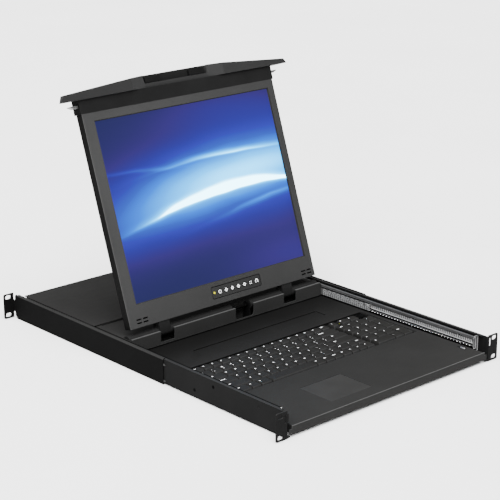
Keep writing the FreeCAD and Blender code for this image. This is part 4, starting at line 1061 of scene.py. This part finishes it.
# OSD buttons: a cap with a rolled edge and its printed mark.
for key in BUTTON_NODES:
    node = f"osd_button_{key}"
    low, high = extent(node, LCD_MM)
    mid = (low + high) / 2
    radius = (high.x - low.x) / 2
    bm = bmesh.new()
    profile = [(radius - 0.1, low.z), (radius - 0.1, high.z - 0.5), (radius - 0.3, high.z - 0.15),
               (radius - 0.7, high.z - 0.05), (radius * 0.3, high.z - 0.05)]
    add_round(bm, profile, (mid.x, mid.y, 0), (0, 0, 1), 28)
    button_mark(bm, key, mid.x, mid.y, high.z - 0.03)
    finish_piece(piece_from(f"cap_{node}", bm, [BUTTON, GLOWING_INK, MARK_GAP], LCD_MM), f"osd_{key}",
                 [node])

low, high = extent("power_led", LCD_MM)
mid = (low + high) / 2
bm = bmesh.new()
add_round(bm, [(1.8, low.z), (1.8, high.z - 0.25), (1.3, high.z + 0.05), (0.5, high.z + 0.1)],
          (mid.x, mid.y, 0), (0, 0, 1), 20)
finish_piece(piece_from("power_lamp", bm, LED_YELLOW, LCD_MM), "lcd", ["power_led"])

# ---------------------------------------------------------------- stage
FLOOR_HALF = 30000.0
lowest = min(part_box(node)[0].z for node in nodes)
floor_material, n, l, shader = new_material("floor_paint", (0.86, 0.86, 0.86), 0.7)
cloud = toned(n, l, object_noise(n, l, 2.0, 3.0), [(0.3, grey(0.84)), (0.7, grey(0.88))])
l.new(cloud, shader.inputs["Base Color"])
bm = bmesh.new()
bmesh.ops.create_grid(bm, x_segments=1, y_segments=1, size=FLOOR_HALF,
                      matrix=Matrix.Translation((0, 0, lowest / MM - 0.2)))
floor = piece_from("floor", bm, floor_material)

world = bpy.data.worlds.new("studio")
world.use_nodes = True
world.node_tree.nodes["Background"].inputs["Color"].default_value = (0.97, 0.98, 1.0, 1)
world.node_tree.nodes["Background"].inputs["Strength"].default_value = 0.16
bpy.context.scene.world = world


def aim(holder, place, target):
    holder.location = place
    holder.rotation_euler = (Vector(target) - Vector(place)).to_track_quat("-Z", "Y").to_euler()
    bpy.context.scene.collection.objects.link(holder)


def area_light(name, place, target, size, power):
    light = bpy.data.lights.new(name, "AREA")
    light.shape = "RECTANGLE"
    light.size, light.size_y = size
    light.energy = power
    aim(bpy.data.objects.new(name, light), place, target)


overhead = bpy.data.lights.new("overhead", "SUN")
overhead.energy = 15.0
overhead.angle = math.radians(70)
aim(bpy.data.objects.new("overhead", overhead), (-1.0, -0.6, 3.0), (0, 0.3, 0.1))
area_light("side", (-1.3, -0.75, 0.75), (-0.05, 0.15, 0.05), (0.7, 0.5), 9)
area_light("rear", (-1.3, 2.2, 1.5), (0.0, 0.5, 0.1), (1.2, 0.9), 20)

# The photo's viewing angle, fitted to the ears' corners and the screen's.
AZIMUTH, ELEVATION, DISTANCE = math.radians(-42.16), math.radians(17.83), 2.5459
TARGET = Vector((-0.01902, 0.3, 0.14426))
back = Vector((math.sin(AZIMUTH) * math.cos(ELEVATION), -math.cos(AZIMUTH) * math.cos(ELEVATION),
               math.sin(ELEVATION)))
camera_data = bpy.data.cameras.new("camera")
camera_data.sensor_width = 36.0
camera_data.lens = 114.93
camera_data.clip_start = 0.05
camera = bpy.data.objects.new("camera", camera_data)
camera.location = TARGET + back * DISTANCE
camera.rotation_euler = (-back).to_track_quat("-Z", "Y").to_euler()
bpy.context.scene.collection.objects.link(camera)
bpy.context.scene.camera = camera
